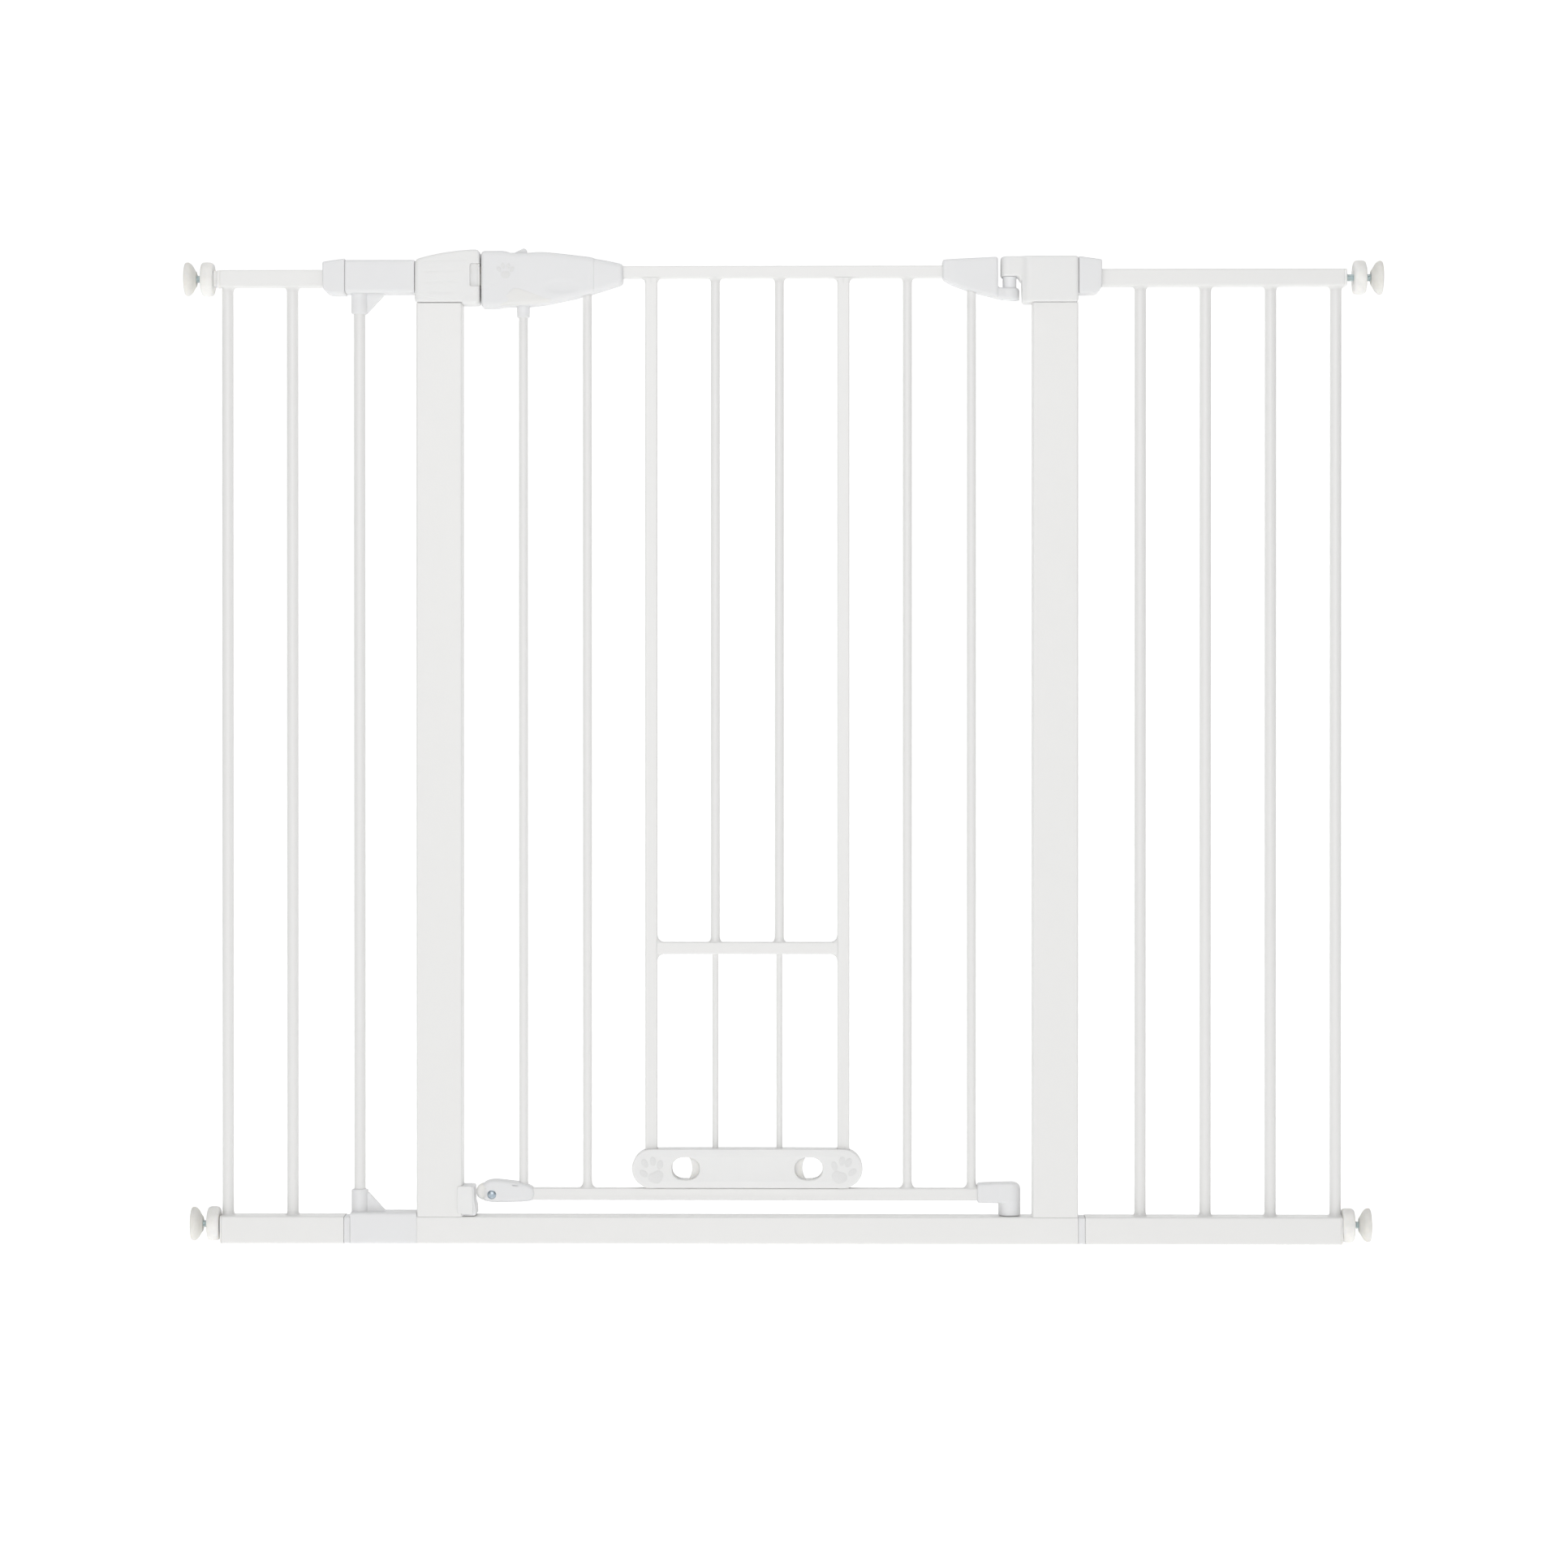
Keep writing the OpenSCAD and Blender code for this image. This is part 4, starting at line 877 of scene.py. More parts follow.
def arm_top(x):
    return interp([(AX0, 1038.9), (AX0 + 40, 1040.9), (AX1 - 2.2, 1041.6), (AX1 - 0.9, 1041.1),
        (AX1 - 0.2, 1040.2), (AX1, 1039.2), (AX1 + 0.35, 1011.0), (AX1 + 0.9, 1010.2), (AX1 + 2.2, 1009.6),
        (PIN_X + LUG_R - 2.4, LUG1), (PIN_X + LUG_R - 0.8, LUG1 - 1.0), (PIN_X + LUG_R, LUG1 - 2.6)], x)


def arm_bottom(x):
    return smooth_interp([(AX0, 1018.9), (AX0 + 10.6, 1013.2), (AX0 + 27, 1007.1), (AX0 + 48, 1001.4),
        (PIN_X - 9, 997.8), (PIN_X, LUG0 + 0.4), (PIN_X + 6, LUG0), (PIN_X + LUG_R, LUG0)], x)


def arm_half(x):
    if x > PIN_X - 4:
        return max(0.8, math.sqrt(max(0.0, LUG_R**2 - (x - PIN_X) ** 2)) - 0.05)
    return interp([(AX0, 11.0), (AX0 + 12, 12.3), (AX1 - 1.5, 12.4), (AX1 + 0.4, 10.6), (PIN_X - 4, 9.45)], x)


arm_steps = arc_steps(PIN_X, LUG_R) + (AX1 - 2.2, AX1 - 0.9, AX1 - 0.2, AX1, AX1 + 0.35, AX1 + 0.9, AX1 + 2.2,
    PIN_X + LUG_R - 2.4, PIN_X + LUG_R - 0.8)
arm = block(AX0, PIN_X + LUG_R, arm_top, arm_bottom, arm_half, r=2.8, ends=((2.5, 2.6), (0.01, 0.01)),
    crown=0.35, pitch=1.8, extra=arm_steps, n_face=30)
arm = finish_mesh("hinge_arm_cover", *arm, COOL, "door", ("hinge_arm",))
cut(arm, [
    prism_z(bore, LUG0 - 3, LUG1 + 4),
    box_mesh(AX0 - 5, top_rail_hi.x + 0.3, -TUNNEL, TUNNEL, top_rail_lo.z - 0.15, top_rail_hi.z + 0.15),
    prism_z(circle(bar_x(7), 0, 4.9, 32), 980, 1022),
])

# The pin: a stepped nylon spigot with a washer face
PIN0 = LUG0 + 0.6
pin_len = pin_hi.z - PIN0
pin = lathe([(0, 0), (6.4, 0), (7.3, 0.9), (7.3, pin_len - 1), (6.6, pin_len), (0, pin_len)],
    (PIN_X, 0, PIN0), (0, 0, 1))
washer = lathe([(7.28, 0.0), (8.2, 0.0), (8.35, 0.25), (8.35, 0.85), (8.2, 1.1), (7.28, 1.1), (7.28, 0.0)],
    (PIN_X, 0, 1019.6), (0, 0, 1))
# The pin's lighter plastic is painted light that lifts the shade under the cap's nose
finish_mesh("upper_hinge_pin", *merge(pin, washer), PIN_PLASTIC_PAINTED_LIGHT, "hinge_pins", ("top_hinge_pin",))

# --- hinge foot

F_X0, F_X1 = foot_lo.x, foot_hi.x
F_R = F_X1 - PIN_X
LOW_BORE_R = 5.06


def foot_top_z(x):
    return interp([(F_X0, 63.4), (F_X0 + 20, 64.3), (F_X1 - 8, 64.5), (F_X1 - 4.2, 63.9), (F_X1 - 1.6, 62.1),
        (F_X1 - 0.4, 60.0), (F_X1, 57.6)], x)


def foot_bottom_z(x):
    return interp([(F_X0, 43.3), (PIN_X - F_R - 1.6, 43.0), (F_X1, 43.0)], x)


def foot_half(x):
    if x < PIN_X:
        return interp([(F_X0, 10.0), (PIN_X - F_R, 10.2), (PIN_X - 5, F_R - 0.7), (PIN_X, F_R - 0.1)], x)
    return max(0.8, math.sqrt(max(0.0, F_R**2 - (x - PIN_X) ** 2)) - 0.05)


foot_steps = arc_steps(PIN_X, F_R) + (PIN_X - F_R - 1.6, PIN_X - F_R - 0.7, PIN_X - F_R, PIN_X - F_R + 0.35,
    PIN_X - F_R + 0.7, PIN_X - F_R + 2, F_X1 - 8, F_X1 - 4.2, F_X1 - 1.6, F_X1 - 0.4)
foot = block(F_X0, F_X1, foot_top_z, foot_bottom_z, foot_half, r=2.4, ends=((2.2, 2.2), (0.01, 0.01)),
    crown=0.25, pitch=1.8, extra=foot_steps, n_face=20)
foot = finish_mesh("hinge_elbow", *foot, COOL, "door", ("hinge_foot",))
leg = lathe([(LOW_BORE_R, 0), (F_R - 1.0, 0), (F_R - 0.3, 0.3), (F_R, 1.0), (F_R - 0.02, 20), (F_R - 1, 21),
    (LOW_BORE_R, 21), (LOW_BORE_R, 0)], (PIN_X, 0, foot_lo.z), (0, 0, 1), 64)
finish_mesh("hinge_elbow_leg", *leg, COOL, "door", smooth=40)
cut(foot, [
    prism_z(circle(PIN_X, 0, LOW_BORE_R, 48), 20, 60),
    box_mesh(F_X0 - 5, door_hi.x + 0.2, -TUNNEL, TUNNEL, door_lo.z - 0.15, door_hi.z + 0.15),
])

# --- bottom latch

k_lo, k_hi = lo_hi("latch_catch")
c_lo, c_hi = lo_hi("bottom_latch_cover")
n_lo, n_hi = lo_hi("bottom_latch_nose")
r_lo, r_hi = lo_hi("bottom_latch_rivet")
POST_FACE = post_l_hi.x

side_piece = rounded([(POST_FACE - 0.2, k_lo.z - 1.2), (k_hi.x, k_lo.z - 1.2), (k_hi.x - 0.3, k_lo.z + 8),
    (k_hi.x - 1.8, k_lo.z + 14), (k_hi.x - 2.2, k_lo.z + 23), (k_hi.x - 2.2, k_hi.z - 0.6),
    (k_hi.x - 5, k_hi.z), (POST_FACE - 0.2, k_hi.z - 0.2)], [0.3, 2.2, 6, 6, 12, 2.0, 3, 0.3])
front_piece = rounded([(k_lo.x, k_lo.z + 1.4), (POST_FACE + 11.8, k_lo.z + 0.6),
    (POST_FACE + 11.0, k_hi.z - 0.2), (k_lo.x, k_hi.z - 0.4)], [2, 2.4, 3.2, 3])
dress("catch_block", slab([side_piece], -15.4, 15.4, 1.6), COOL, "frame", ("latch_catch",))
for sign, name in SIDES:
    y0, y1 = (-16.9, -15.05) if sign < 0 else (15.05, 16.9)
    dress(f"catch_plate_{name}", slab([front_piece], y0, y1, 0.8), NEUTRAL, "frame")

CV0, CV1 = c_lo.x, c_hi.x
NOSE_Z = 54.3


def cover_top(x):
    return smooth_interp([(0, 59.0), (2.5, 63.0), (6, 65.6), (11, 66.9), (17, 67.1), (27, 66.2), (41, 64.1),
        (49, 61.8), (54, 59.4), (CV1 - CV0, 55.6)], x, CV0)


def cover_bottom(x):
    return smooth_interp([(0, 48.6), (2.5, 45.6), (7, 44.0), (14, 43.4), (34, 43.5), (50, 44.4), (54.5, 46.0),
        (CV1 - CV0, 49.8)], x, CV0)


def cover_half(x):
    return interp([(0, 8.3), (12, 9.0), (46, 8.9), (53, 8.0), (CV1 - CV0, 7.0)], x, CV0)


cover = block(CV0, CV1, cover_top, cover_bottom, cover_half, r=3.6, ends=((2.0, 1.0), (3.5, 1.5)), crown=0.5,
    pitch=1.2, n_face=22)
cover = finish_mesh("bottom_latch_slipper", *cover, COOL, "door", ("bottom_latch_cover",))
cut(cover, [prism_y(circle(CV0 - 3.2, NOSE_Z, 9.4, 64), -20, 20),
    box_mesh(door_lo.x - 0.3, CV1 + 5, -TUNNEL, TUNNEL, door_lo.z - 0.12, door_hi.z + 0.12),
    box_mesh(CV0 - 1, door_lo.x + 0.1, -6.2, 6.2, door_lo.z - 0.9, door_hi.z + 1.5),
    prism_y(rounded([(CV0 + 33, 60.6), (CV0 + 39.5, 60.0), (CV0 + 39.5, 61.5), (CV0 + 33, 62.1)], 0.5), -12,
    -7.6)])

# Nose: a thick rounded disc of nylon on a square shank
nose_r = 9.1
nose_x = n_lo.x + nose_r
nose = lathe([(0, -6.0), (5.2, -6.0), (7.0, -5.5), (8.3, -4.3), (8.95, -2.4), (nose_r, 0), (8.95, 2.4),
    (8.3, 4.3), (7.0, 5.5), (5.2, 6.0), (0, 6.0)], (nose_x, 0, NOSE_Z), (0, 1, 0), 48)
shank = box_mesh(door_lo.x + 0.4, n_hi.x, -4.9, 4.9, door_lo.z + 1.5, door_hi.z - 1.5)
finish_mesh("bottom_latch_tip", *merge(nose, shank), IVORY, "door", ("bottom_latch_nose",))

rx, rz = (r_lo.x + r_hi.x) / 2, (r_lo.z + r_hi.z) / 2
heads = []
dome = [(0, 11.0), (1.6, 10.9), (2.9, 10.6), (3.9, 10.1), (4.6, 9.5), (5.0, 8.85), (4.9, 8.6), (2.45, 8.5),
    (2.45, 0.02), (0, 0.02)]
for sign in (-1, 1):
    heads.append(lathe(dome, (rx, 0, rz), (0, sign, 0), 48))
finish_mesh("bottom_latch_rivet_heads", *merge(*heads), ZINC, "door", ("bottom_latch_rivet",))

# --- sleeves, collars, spacers, plugs

EXT_Z = 1020.0


def rect_loft(x0, x1, top, bottom, half, r, end=0.8, pitch=3.0):
    """A straight moulding of rounded rectangular section."""
    return block(x0, x1, lambda x: top, lambda x: bottom, lambda x: half, r=r, ends=((end, end), (end, end)),
        crown=0.15, pitch=pitch)


ts_lo, ts_hi = lo_hi("single_bar_top_sleeve")
single_x = ts_lo.x + 14
parts = [rect_loft(ts_lo.x + 0.15, ts_hi.x - 0.25, 1038.9, 1004.1, 14.9, 3.4)]
parts.append(lathe([(0, 0), (7.6, 0), (8.5, 0.5), (8.85, 1.6), (8.85, 24), (0, 24)], (single_x, 0, 982.8),
    (0, 0, 1), 48))
parts.append(prism_y(rounded([(single_x + 6, 1005), (single_x + 6, 984.6), (single_x + 9.4, 984.6),
    (single_x + 28, 1005)], [0, 0, 1.5, 0]), -3.4, 3.4))
finish_mesh("upper_sleeve", *merge(*parts), COOL, "frame", ("single_bar_top_sleeve",))

bs_lo, bs_hi = lo_hi("single_bar_bottom_sleeve")
parts = [rect_loft(bs_lo.x + 0.15, bs_hi.x, 33.0, 0.0, 16.4, 2.6)]
parts.append(lathe([(0, 0), (8.85, 0), (8.85, 22.4), (8.5, 23.6), (7.6, 24.1), (0, 24.1)],
    (single_x, 0, 32.5), (0, 0, 1), 48))
parts.append(prism_y(rounded([(single_x + 6, 32), (single_x + 28.5, 32), (single_x + 9.4, 53),
    (single_x + 6, 53)], [0, 0, 2, 0]), -3.4, 3.4))
finish_mesh("lower_sleeve", *merge(*parts), COOL, "frame", ("single_bar_bottom_sleeve",))

LR = lo_hi("left_ext_top_rail")[1].x
RR = lo_hi("right_ext_top_rail")[0].x
parts = []
for tall, low, top0, top1 in ((ts_lo.x, LR, 1040.5, 1037.0), (HX1 + 0.2, RR, 1042.0, 1038.5)):
    a, b = min(tall, low) + 0.15, max(tall, low) - 0.15
    ta, tb = (top1, top0) if low < tall else (top0, top1)
    bottom = [(a, 1011.6), (a + 1.2, 1008.0), (a + 4.2, 1004.4), (a + 8, 1002.9), (b, 1002.7)]
    if low > tall:
        bottom = [(a, 1002.7), (b - 8, 1002.9), (b - 4.2, 1004.4), (b - 1.2, 1008.0), (b, 1011.6)]
    parts.append(block(a, b, lambda x, a=a, b=b, ta=ta, tb=tb: ta + (tb - ta) * (x - a) / (b - a),
        lambda x, t=tuple(bottom): interp(list(t), x), lambda x: 14.9, r=2.6, ends=((1.8, 1.2), (1.8, 1.2)),
        crown=0.25, pitch=1.2))
finish_mesh("rail_collar_pair", *merge(*parts), COOL, "frame", ("rail_collars",))

LL0, LL1 = (v.x for v in lo_hi("left_ext_bottom_rail"))
LRX0, LRX1 = (v.x for v in lo_hi("right_ext_bottom_rail"))
parts = [rect_loft(LL1 + 0.2, bs_lo.x - 0.1, 28.4, 0.5, 14.3, 1.8, 0.5, 2.0),
    rect_loft(FX1 + 0.2, LRX0 - 0.2, 28.4, 0.5, 14.3, 1.8, 0.5, 2.0)]
parts += [rect_loft(LL1 - 2, bs_lo.x + 2, 27.0, 2.0, 13.0, 1.2, 0.2, 3.0),
    rect_loft(FX1 - 2, LRX0 + 2, 27.0, 2.0, 13.0, 1.2, 0.2, 3.0)]
finish_mesh("rail_spacers", *merge(*parts), COOL, "frame", ("bottom_spacers",))

TL0 = lo_hi("left_ext_top_rail")[0].x
TR1 = lo_hi("right_ext_top_rail")[1].x
parts = []
for x0, x1, zc, h, d, depth in ((TL0 - 4.0, TL0, EXT_Z, 18, 18, 10), (TR1, TR1 + 3.5, EXT_Z, 18, 18, -10),
        (LL0 - 2.1, LL0, 14.5, 29, 30, 12), (LRX1, LRX1 + 2.1, 14.5, 29, 30, -12)):
    parts.append(rect_loft(x0, x1, zc + h / 2, zc - h / 2, d / 2, 2.4, 0.9, 1.0))
    a, b = (x1, x1 + depth) if depth > 0 else (x0 + depth, x0)
    parts.append(rect_loft(a, b, zc + h / 2 - 1.4, zc - h / 2 + 1.4, d / 2 - 1.4, 1.2, 0.2, 4.0))
parts.append(rect_loft(lo_hi("hand_wheel_left_top")[1].x + 0.12, TL0 - 4.0, EXT_Z + 8.2, EXT_Z - 8.2, 8.2,
    1.6, 0.3, 1.0))
finish_mesh("end_plugs", *merge(*parts), IVORY, "frame", ("rail_end_plugs",))

# --- wheels, spindles and pads


def wheel_mesh(x0, z, turn, k):
    """A lobed hand wheel; its outer face looks along k."""
    r, t = 18.45, 13.2
    profile = [(4.12, 0.9), (6.4, 0.9), (7.2, 0.15), (8.2, 0.0), (9.4, 0.1), (10.2, 0.35), (12.2, 0.35),
        (13.0, 0.15), (14.2, 0.02), (15.2, 0.0), (16.5, 0.45), (17.6, 1.35), (18.2, 2.6), (r, 4.2), (r, 6.6),
        (r, 9.0), (18.2, 10.6), (17.6, 11.85), (16.5, 12.75), (15.2, t), (14.2, t - 0.08), (13.0, t - 0.6),
        (12.2, t - 1.5), (10.2, t - 1.3), (9.4, t - 0.3), (8.2, t), (7.2, t - 0.2), (6.4, t - 0.9),
        (4.12, t - 0.9), (4.12, 0.9)]

    def wobble(radius, h, a):
        if radius < 12.5:
            return radius
        lobe = 0.5 - 0.5 * math.cos(5 * (a - math.radians(turn)))
        return radius - 1.0 * lobe**1.6 * (radius - 12.5) / 6

    start = (x0, 0, z) if k > 0 else (x0 + t, 0, z)
    return lathe(profile, start, (k, 0, 0), 120, wobble)


def thread_mesh(x0, x1, z, n=20):
    """A threaded rod along X with chamfered ends."""
    pitch, major, minor = 1.25, 3.97, 3.35
    steps = 6
    turns = (x1 - x0) / pitch
    count = int(turns * steps)
    rings = []
    for i in range(count + 1):
        x = x0 + (x1 - x0) * i / count
        end = min(x - x0, x1 - x)
        ring = []
        for j in range(n):
            a = 2 * math.pi * j / n
            phase = ((x - x0) / pitch - j / n) % 1.0
            tooth = 1 - abs(2 * phase - 1)
            radius = minor + (major - minor) * min(1.0, max(0.0, tooth * 1.5 - 0.25))
            radius = min(radius, 2.9 + end * 0.9)
            ring.append((x, radius * math.cos(a), z + radius * math.sin(a)))
        rings.append(ring)
    return rings_mesh(rings)


pad_profile = [(0, 0), (15.6, 0), (16.8, 0.25), (17.55, 0.95), (17.84, 2.0), (17.84, 3.4), (17.3, 4.9),
    (16.1, 6.5), (14.2, 8.0), (12.0, 9.3), (10.0, 10.4), (8.8, 11.3), (8.2, 11.9), (7.4, 12.2), (4.05, 12.2),
    (4.05, 4.85), (0, 4.85)]
for side, k in (("left", -1), ("right", 1)):
    for level, turn in (("top", 0.0), ("bottom", 36.0)):
        tag = f"{side}_{level}"
        w_lo = lo_hi(f"hand_wheel_{tag}")[0]
        p_lo, p_hi = lo_hi(f"wall_pad_{tag}")
        sp_lo, sp_hi = lo_hi(f"spindle_{tag}")
        z = (sp_lo.z + sp_hi.z) / 2
        finish_mesh(f"lobed_wheel_{tag}", *wheel_mesh(w_lo.x, z, 90 + turn, k), IVORY, f"wheel_{tag}",
            (f"hand_wheel_{tag}",), smooth=50)
        # The rods take the lighter copy of the zinc, which is painted light
        finish_mesh(f"threaded_rod_{tag}", *thread_mesh(sp_lo.x, sp_hi.x, z), THREAD_PAINTED_LIGHT, f"foot_{tag}",
            (f"spindle_{tag}",), smooth=30)
        face = p_hi.x if k > 0 else p_lo.x
        finish_mesh(f"rubber_pad_{tag}", *lathe(pad_profile, (face, 0, z), (-k, 0, 0), 96), RUBBER,
            f"foot_{tag}", (f"wall_pad_{tag}",), smooth=40)

# --- pet door

PX0, PX1, PZ0, PZ1 = plate_lo.x, plate_hi.x, plate_lo.z, plate_hi.z
PZC = (PZ0 + PZ1) / 2
HOLE_OFF, HOLE_W, HOLE_H = 65.0, 29.4, 24.0


def stadium(cx, cz, w, h, n):
    r = h / 2
    pts = []
    for side in (1, -1):
        for k in range(n + 1):
            a = math.radians(-90 * side + 180 * k / n)
            pts.append((cx + side * (w / 2 - r) + r * math.cos(a), cz + r * math.sin(a)))
    return pts


def finger_hole(sign):
    """The outline of a finger hole, a little fuller than an ellipse."""
    cx = DOOR_X + sign * HOLE_OFF
    pts = circle(0, 0, 1, 48)
    return [(cx + bulged(ca, 0.86) * HOLE_W / 2, PZC + bulged(sa, 0.86) * HOLE_H / 2) for ca, sa in pts]


outline = stadium(DOOR_X, PZC, PX1 - PX0, PZ1 - PZ0 - 0.5, 24)
top_run = [(DOOR_X + 100 - 200 * k / 24, 0) for k in range(1, 24)]
half_w = (PX1 - PX0) / 2
bowed = []
for x, z in outline[:25] + top_run + outline[25:]:
    if z == 0:
        z = outline[24][1]
    if z > PZC:
        z += 0.5 * (1 - ((x - DOOR_X) / half_w) ** 2)
    bowed.append((x, z))
for sign, name in SIDES:
    y0, y1 = (-11.95, -0.08) if sign < 0 else (0.08, 11.95)
    half = dress(f"pet_plate_{name}", slab([bowed, finger_hole(-1), finger_hole(1)], y0, y1, 1.3), NEUTRAL,
        "pet_door", (f"pet_door_{name}_plate",))
    tools = []
    for i in (2, 5):
        tools.append(box_mesh(bar_x(i) - 6.9, bar_x(i) + 6.9, -6.9, 6.9, PZ0 - 3, PZ1 + 3))
    for i in (3, 4):
        tools.append(prism_z(circle(bar_x(i), 0, 3.25, 32), PZ0 + 6, PZ1 + 3))
    for k in (-1, 1):
        a, b = sorted((DOOR_X + k * 40.0, DOOR_X + k * 94.9))
        tools.append(box_mesh(a, b, -4.9, 4.9, PZC - 15.4, PZC + 15.4))
    cut(half, tools)


def pinch_mesh(k):
    """Slider with a window; the rim nearest the plate's middle shows through the finger hole."""
    inner, outer = HOLE_OFF - HOLE_W / 2 - 4, HOLE_OFF + HOLE_W / 2 + 10
    body = rounded(rect(DOOR_X + k * inner, DOOR_X + k * outer, PZC - 15.1, PZC + 15.1), 2)
    w0, w1 = HOLE_OFF - HOLE_W / 2 + 8.4, HOLE_OFF + HOLE_W / 2 + 6
    window = []
    for j in range(17):
        t = -1 + 2 * j / 16
        window.append((DOOR_X + k * (w0 + 3.6 * t * t - 0.4), PZC + t * HOLE_H / 2))
    window += [(DOOR_X + k * w1, PZC + HOLE_H / 2), (DOOR_X + k * w1, PZC - HOLE_H / 2)]
    return slab([body, window], -4.6, 4.6, 0.9)


for k, name in ((-1, "left"), (1, "right")):
    dress(f"pinch_slider_{name}", pinch_mesh(k), IVORY, f"pinch_{name}", (f"pinch_{name}",))
    q_lo, q_hi = lo_hi(f"pinch_{name}")
    end = q_hi.x if k > 0 else q_lo.x
    length = abs(end - (DOOR_X + k * (HOLE_OFF + HOLE_W / 2 + 9.5)))
    pin_pts = lathe([(0, 0), (2.9, 0), (2.9, length - 0.8), (2.2, length - 0.1), (0, length - 0.1)],
        (end - k * length, 0, PZC), (k, 0, 0), 32)
    finish_mesh(f"lock_pin_{name}", *pin_pts, IVORY, f"pinch_{name}")


def paw_loops(x, z, s, tilt, toes):
    """One broad pad and four toes, as (x, z) loops; tilt turns the pad clockwise, toes are their middles."""
    t = math.radians(tilt)
    pad = []
    for k in range(48):
        a = 2 * math.pi * k / 48
        u = s * (8.2 - 1.3 * math.sin(a)) * math.cos(a)
        v = s * (6.2 * math.sin(a) + 0.9 * math.cos(2 * a) - 0.5 * math.cos(4 * a))
        pad.append((x + u * math.cos(t) + v * math.sin(t), z - u * math.sin(t) + v * math.cos(t)))
    loops = [pad]
    for tx, tz in toes:
        b = math.atan2(tx, tz + 7)
        toe = []
        for j in range(32):
            a = 2 * math.pi * j / 32
            u, v = s * 3.2 * math.cos(a), s * 4.9 * math.sin(a)
            toe.append((x + s * tx + u * math.cos(b) + v * math.sin(b),
                z + s * tz - u * math.sin(b) + v * math.cos(b)))
        loops.append(toe)
    return loops


def print_marks(name, loops, y, t, body, nodes_in=()):
    """Thin raised islands, one for each loop, as one piece."""
    bm = bmesh.new()
    for mesh in [slab([loop], y, y + t, 0.15) for loop in loops]:
        bm.from_mesh(mesh)
        bpy.data.meshes.remove(mesh)
    joined = bpy.data.meshes.new(name)
    bm.to_mesh(joined)
    bm.free()
    dress(name, joined, PRINT, body, nodes_in)


LEFT_TOES = [(-12.9, 3.1), (-11.7, 13.8), (-3.1, 16.2), (4.5, 12.4)]
RIGHT_TOES = [(-5.5, 11.4), (2.6, 16.4), (9.5, 14.8), (13.6, 4.8)]
EVEN_TOES = [(-11.5, 9.0), (-4.4, 14.6), (4.4, 14.6), (11.5, 9.0)]
print_marks("paw_print_left", paw_loops(DOOR_X - 96.4, PZ0 + 12.4, 1.0, -26, LEFT_TOES), -12.22, 0.5,
    "pet_door", ("paw_emblems",))
print_marks("paw_print_right", paw_loops(DOOR_X + 97.6, PZ0 + 12.4, 1.0, 19, RIGHT_TOES), -12.22, 0.5,
    "pet_door")
print_marks("handle_paw_mark", paw_loops(GX0 + 26, 1023, 0.6, 0, EVEN_TOES), -16.75, 0.65, "door",
    ("handle_emblem",))

# --- rear screws


def screw_mesh(x, z, y_face, length):
    profile = [(0, 0.25), (1.6, 0.2), (2.4, -0.15), (2.85, -0.6), (2.95, -1.1), (2.95, -1.75), (1.45, -1.75),
        (1.45, -length), (0, -length - 0.6)]
    return lathe(profile, (x, y_face - 0.25, z), (0, 1, 0), 40)


for node, body in (("cap_screws", "frame"), ("handle_screws", "door"), ("pet_door_screws", "pet_door")):
    co = [v.co / MM for v in nodes[node].data.vertices]
    heads = []
    for p in co:
        for head in heads:
            if abs(head[0] - p.x) < 4 and abs(head[1] - p.z) < 4:
                head[2] = max(head[2], p.y)
                head[3].append((p.x, p.z))
                break
        else:
            heads.append([p.x, p.z, p.y, [(p.x, p.z)]])
    for number, (x, z, y_face, pts) in enumerate(heads):
        cx = (min(p[0] for p in pts) + max(p[0] for p in pts)) / 2
        cz = (min(p[1] for p in pts) + max(p[1] for p in pts)) / 2
        screw = finish_mesh(f"{node}_{number + 1}", *screw_mesh(cx, cz, y_face, 13), ZINC, body,
            (node,) if number == 0 else ())
        cut(screw, [box_mesh(cx - 1.9, cx + 1.9, y_face - 1.3, y_face + 2, cz - 0.42, cz + 0.42),
                    box_mesh(cx - 0.42, cx + 0.42, y_face - 1.3, y_face + 2, cz - 1.9, cz + 1.9)])

# --- stage, light and camera

FLOOR_GLOW = 0.46
WORLD_LIGHT = 0.38
EYE, AIM = (0.0476, -4.2, 0.520), (0.0013, 0, 0.5018)
LENS, SHIFT_Y = 91.15, -0.0098


def stage_material():
    paint = Paint("pale_floor")
    pale = paint.ramp(paint.noise(3.0), (0.3, (0.96, 0.96, 0.96)), (0.7, (0.98, 0.98, 0.98)))
    paint.feed(pale, "Base Color")
    paint.set(Roughness=0.9, Emission_Color=(1, 1, 1, 1), Emission_Strength=FLOOR_GLOW)
    return paint.mat


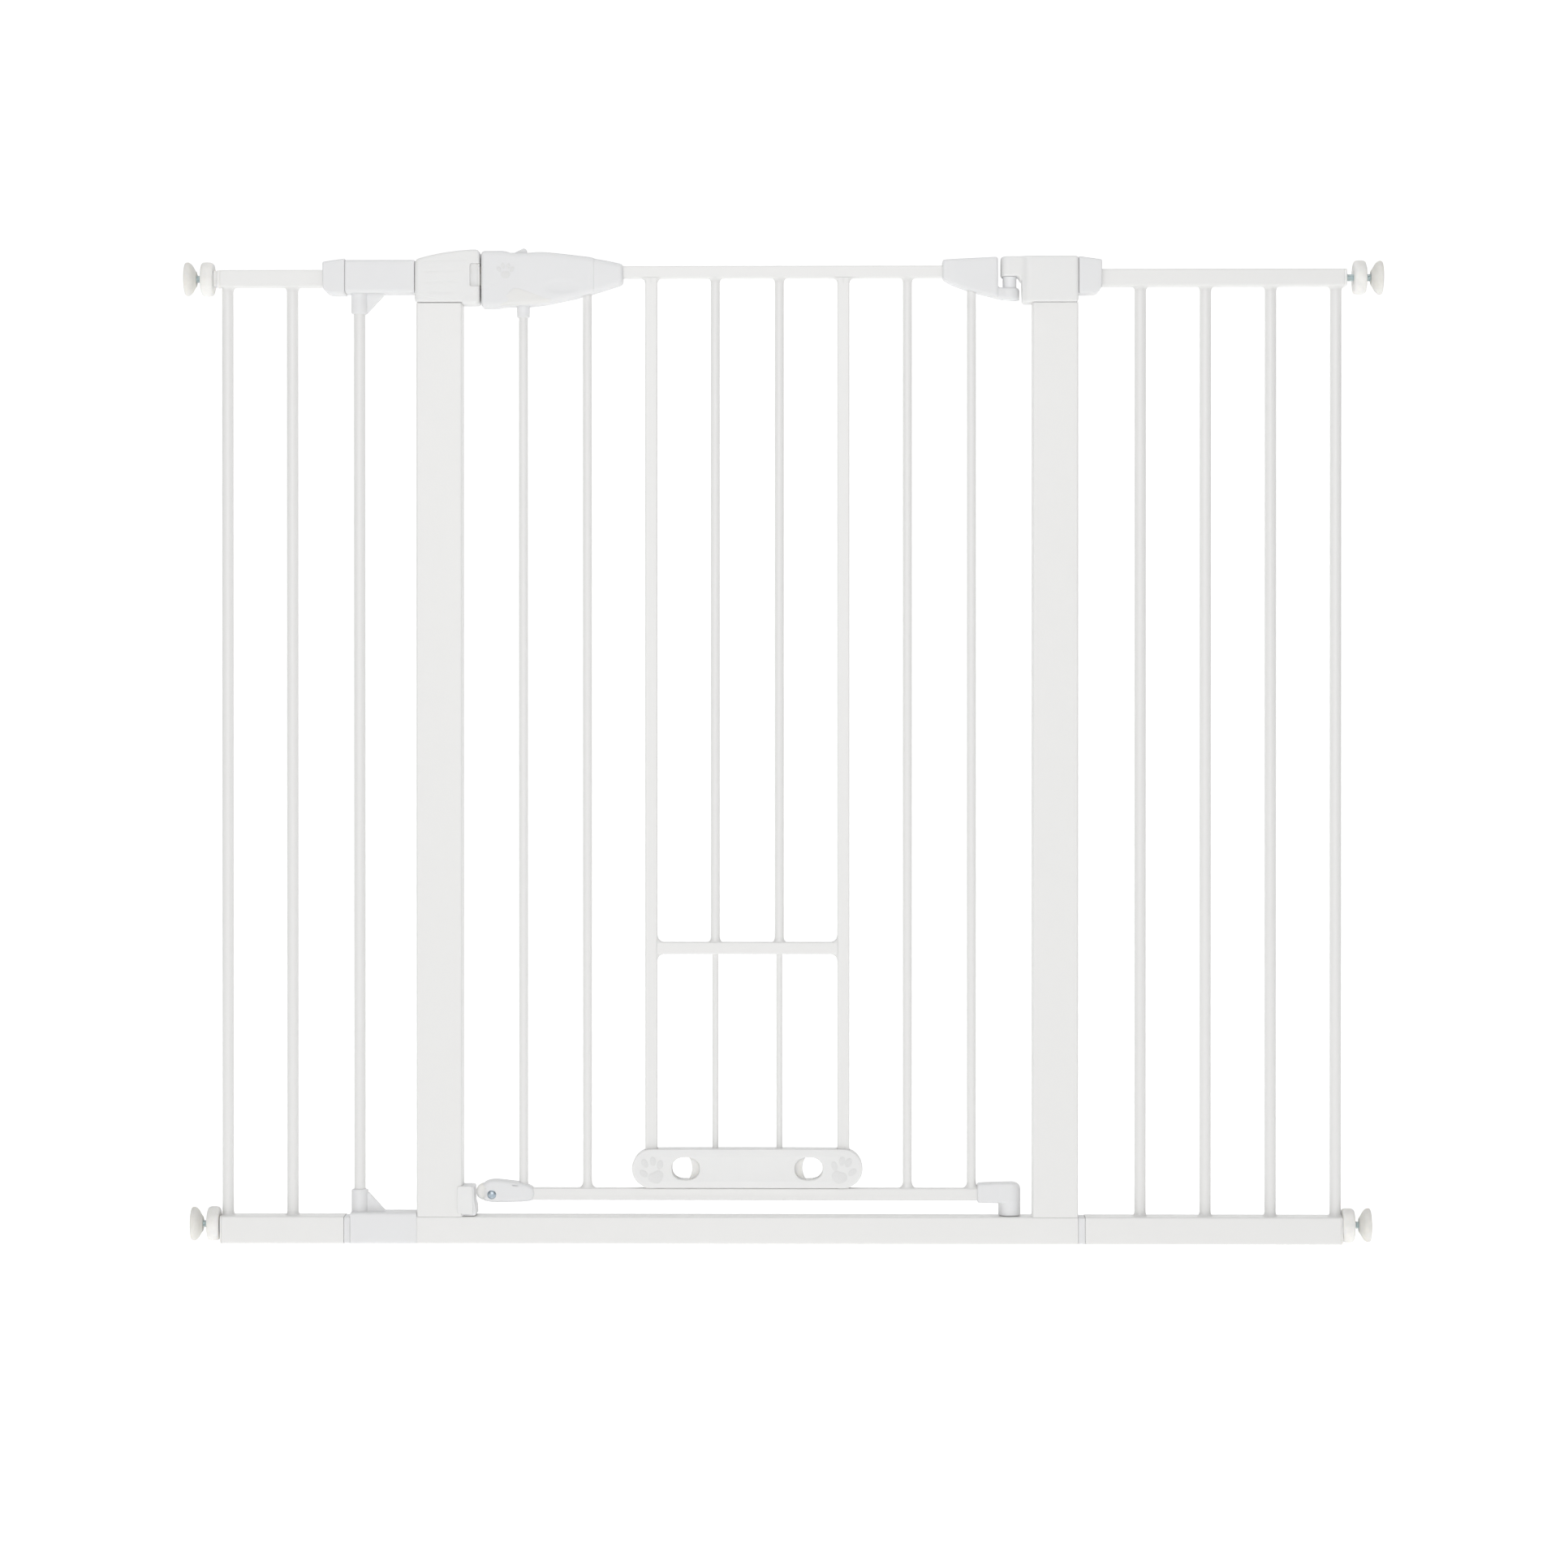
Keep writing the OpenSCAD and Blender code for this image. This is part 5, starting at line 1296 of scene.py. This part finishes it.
bend = [math.radians(a) for a in range(10, 91, 10)]
curve = [(3.0 + 2.0 * math.sin(a), 2.0 - 2.0 * math.cos(a)) for a in bend]
sweep = [(-5.0, 0.0), (3.0, 0.0)] + curve + [(5.0, 8.0)]
verts = [(x, y, z) for y, z in sweep for x in (-9.0, 9.0)]
faces = [(2 * i, 2 * i + 1, 2 * i + 3, 2 * i + 2) for i in range(len(sweep) - 1)]
mesh = bpy.data.meshes.new("floor_sweep")
mesh.from_pydata(verts, [], faces)
mesh.materials.append(stage_material())
mesh.shade_smooth()
floor = bpy.data.objects.new("floor_sweep", mesh)
bpy.context.scene.collection.objects.link(floor)

world = bpy.data.worlds.new("studio")
bpy.context.scene.world = world
world.use_nodes = True
world.node_tree.nodes["Background"].inputs[0].default_value = (1.0, 1.0, 1.0, 1)
world.node_tree.nodes["Background"].inputs[1].default_value = WORLD_LIGHT


def area_light(name, place, target, size, power, colour=(1, 1, 1)):
    data = bpy.data.lights.new(name, "AREA")
    data.shape = "RECTANGLE"
    data.size, data.size_y = size
    data.energy = power
    data.color = colour
    obj = bpy.data.objects.new(name, data)
    bpy.context.scene.collection.objects.link(obj)
    obj.location = place
    obj.rotation_euler = (Vector(target) - Vector(place)).to_track_quat("-Z", "Y").to_euler()
    return obj


area_light("front_soft", (-0.2, -4.2, 1.5), (0, 0, 0.5), (2.2, 2.2), 41.5)
area_light("key_left", (-1.6, -2.9, 2.6), (0, 0, 0.6), (1.2, 1.2), 6)
area_light("top_soft", (0, -0.5, 3.2), (0, 0, 0.4), (2.8, 1.4), 20, (0.98, 0.985, 1.0))

camera = bpy.data.cameras.new("camera")
camera.sensor_width = 36
camera.lens = LENS
camera.shift_y = SHIFT_Y
eye = bpy.data.objects.new("camera", camera)
bpy.context.scene.collection.objects.link(eye)
eye.location = EYE
eye.rotation_euler = (Vector(AIM) - eye.location).to_track_quat("-Z", "Y").to_euler()
bpy.context.scene.camera = eye
bpy.context.scene.view_settings.view_transform = "Standard"
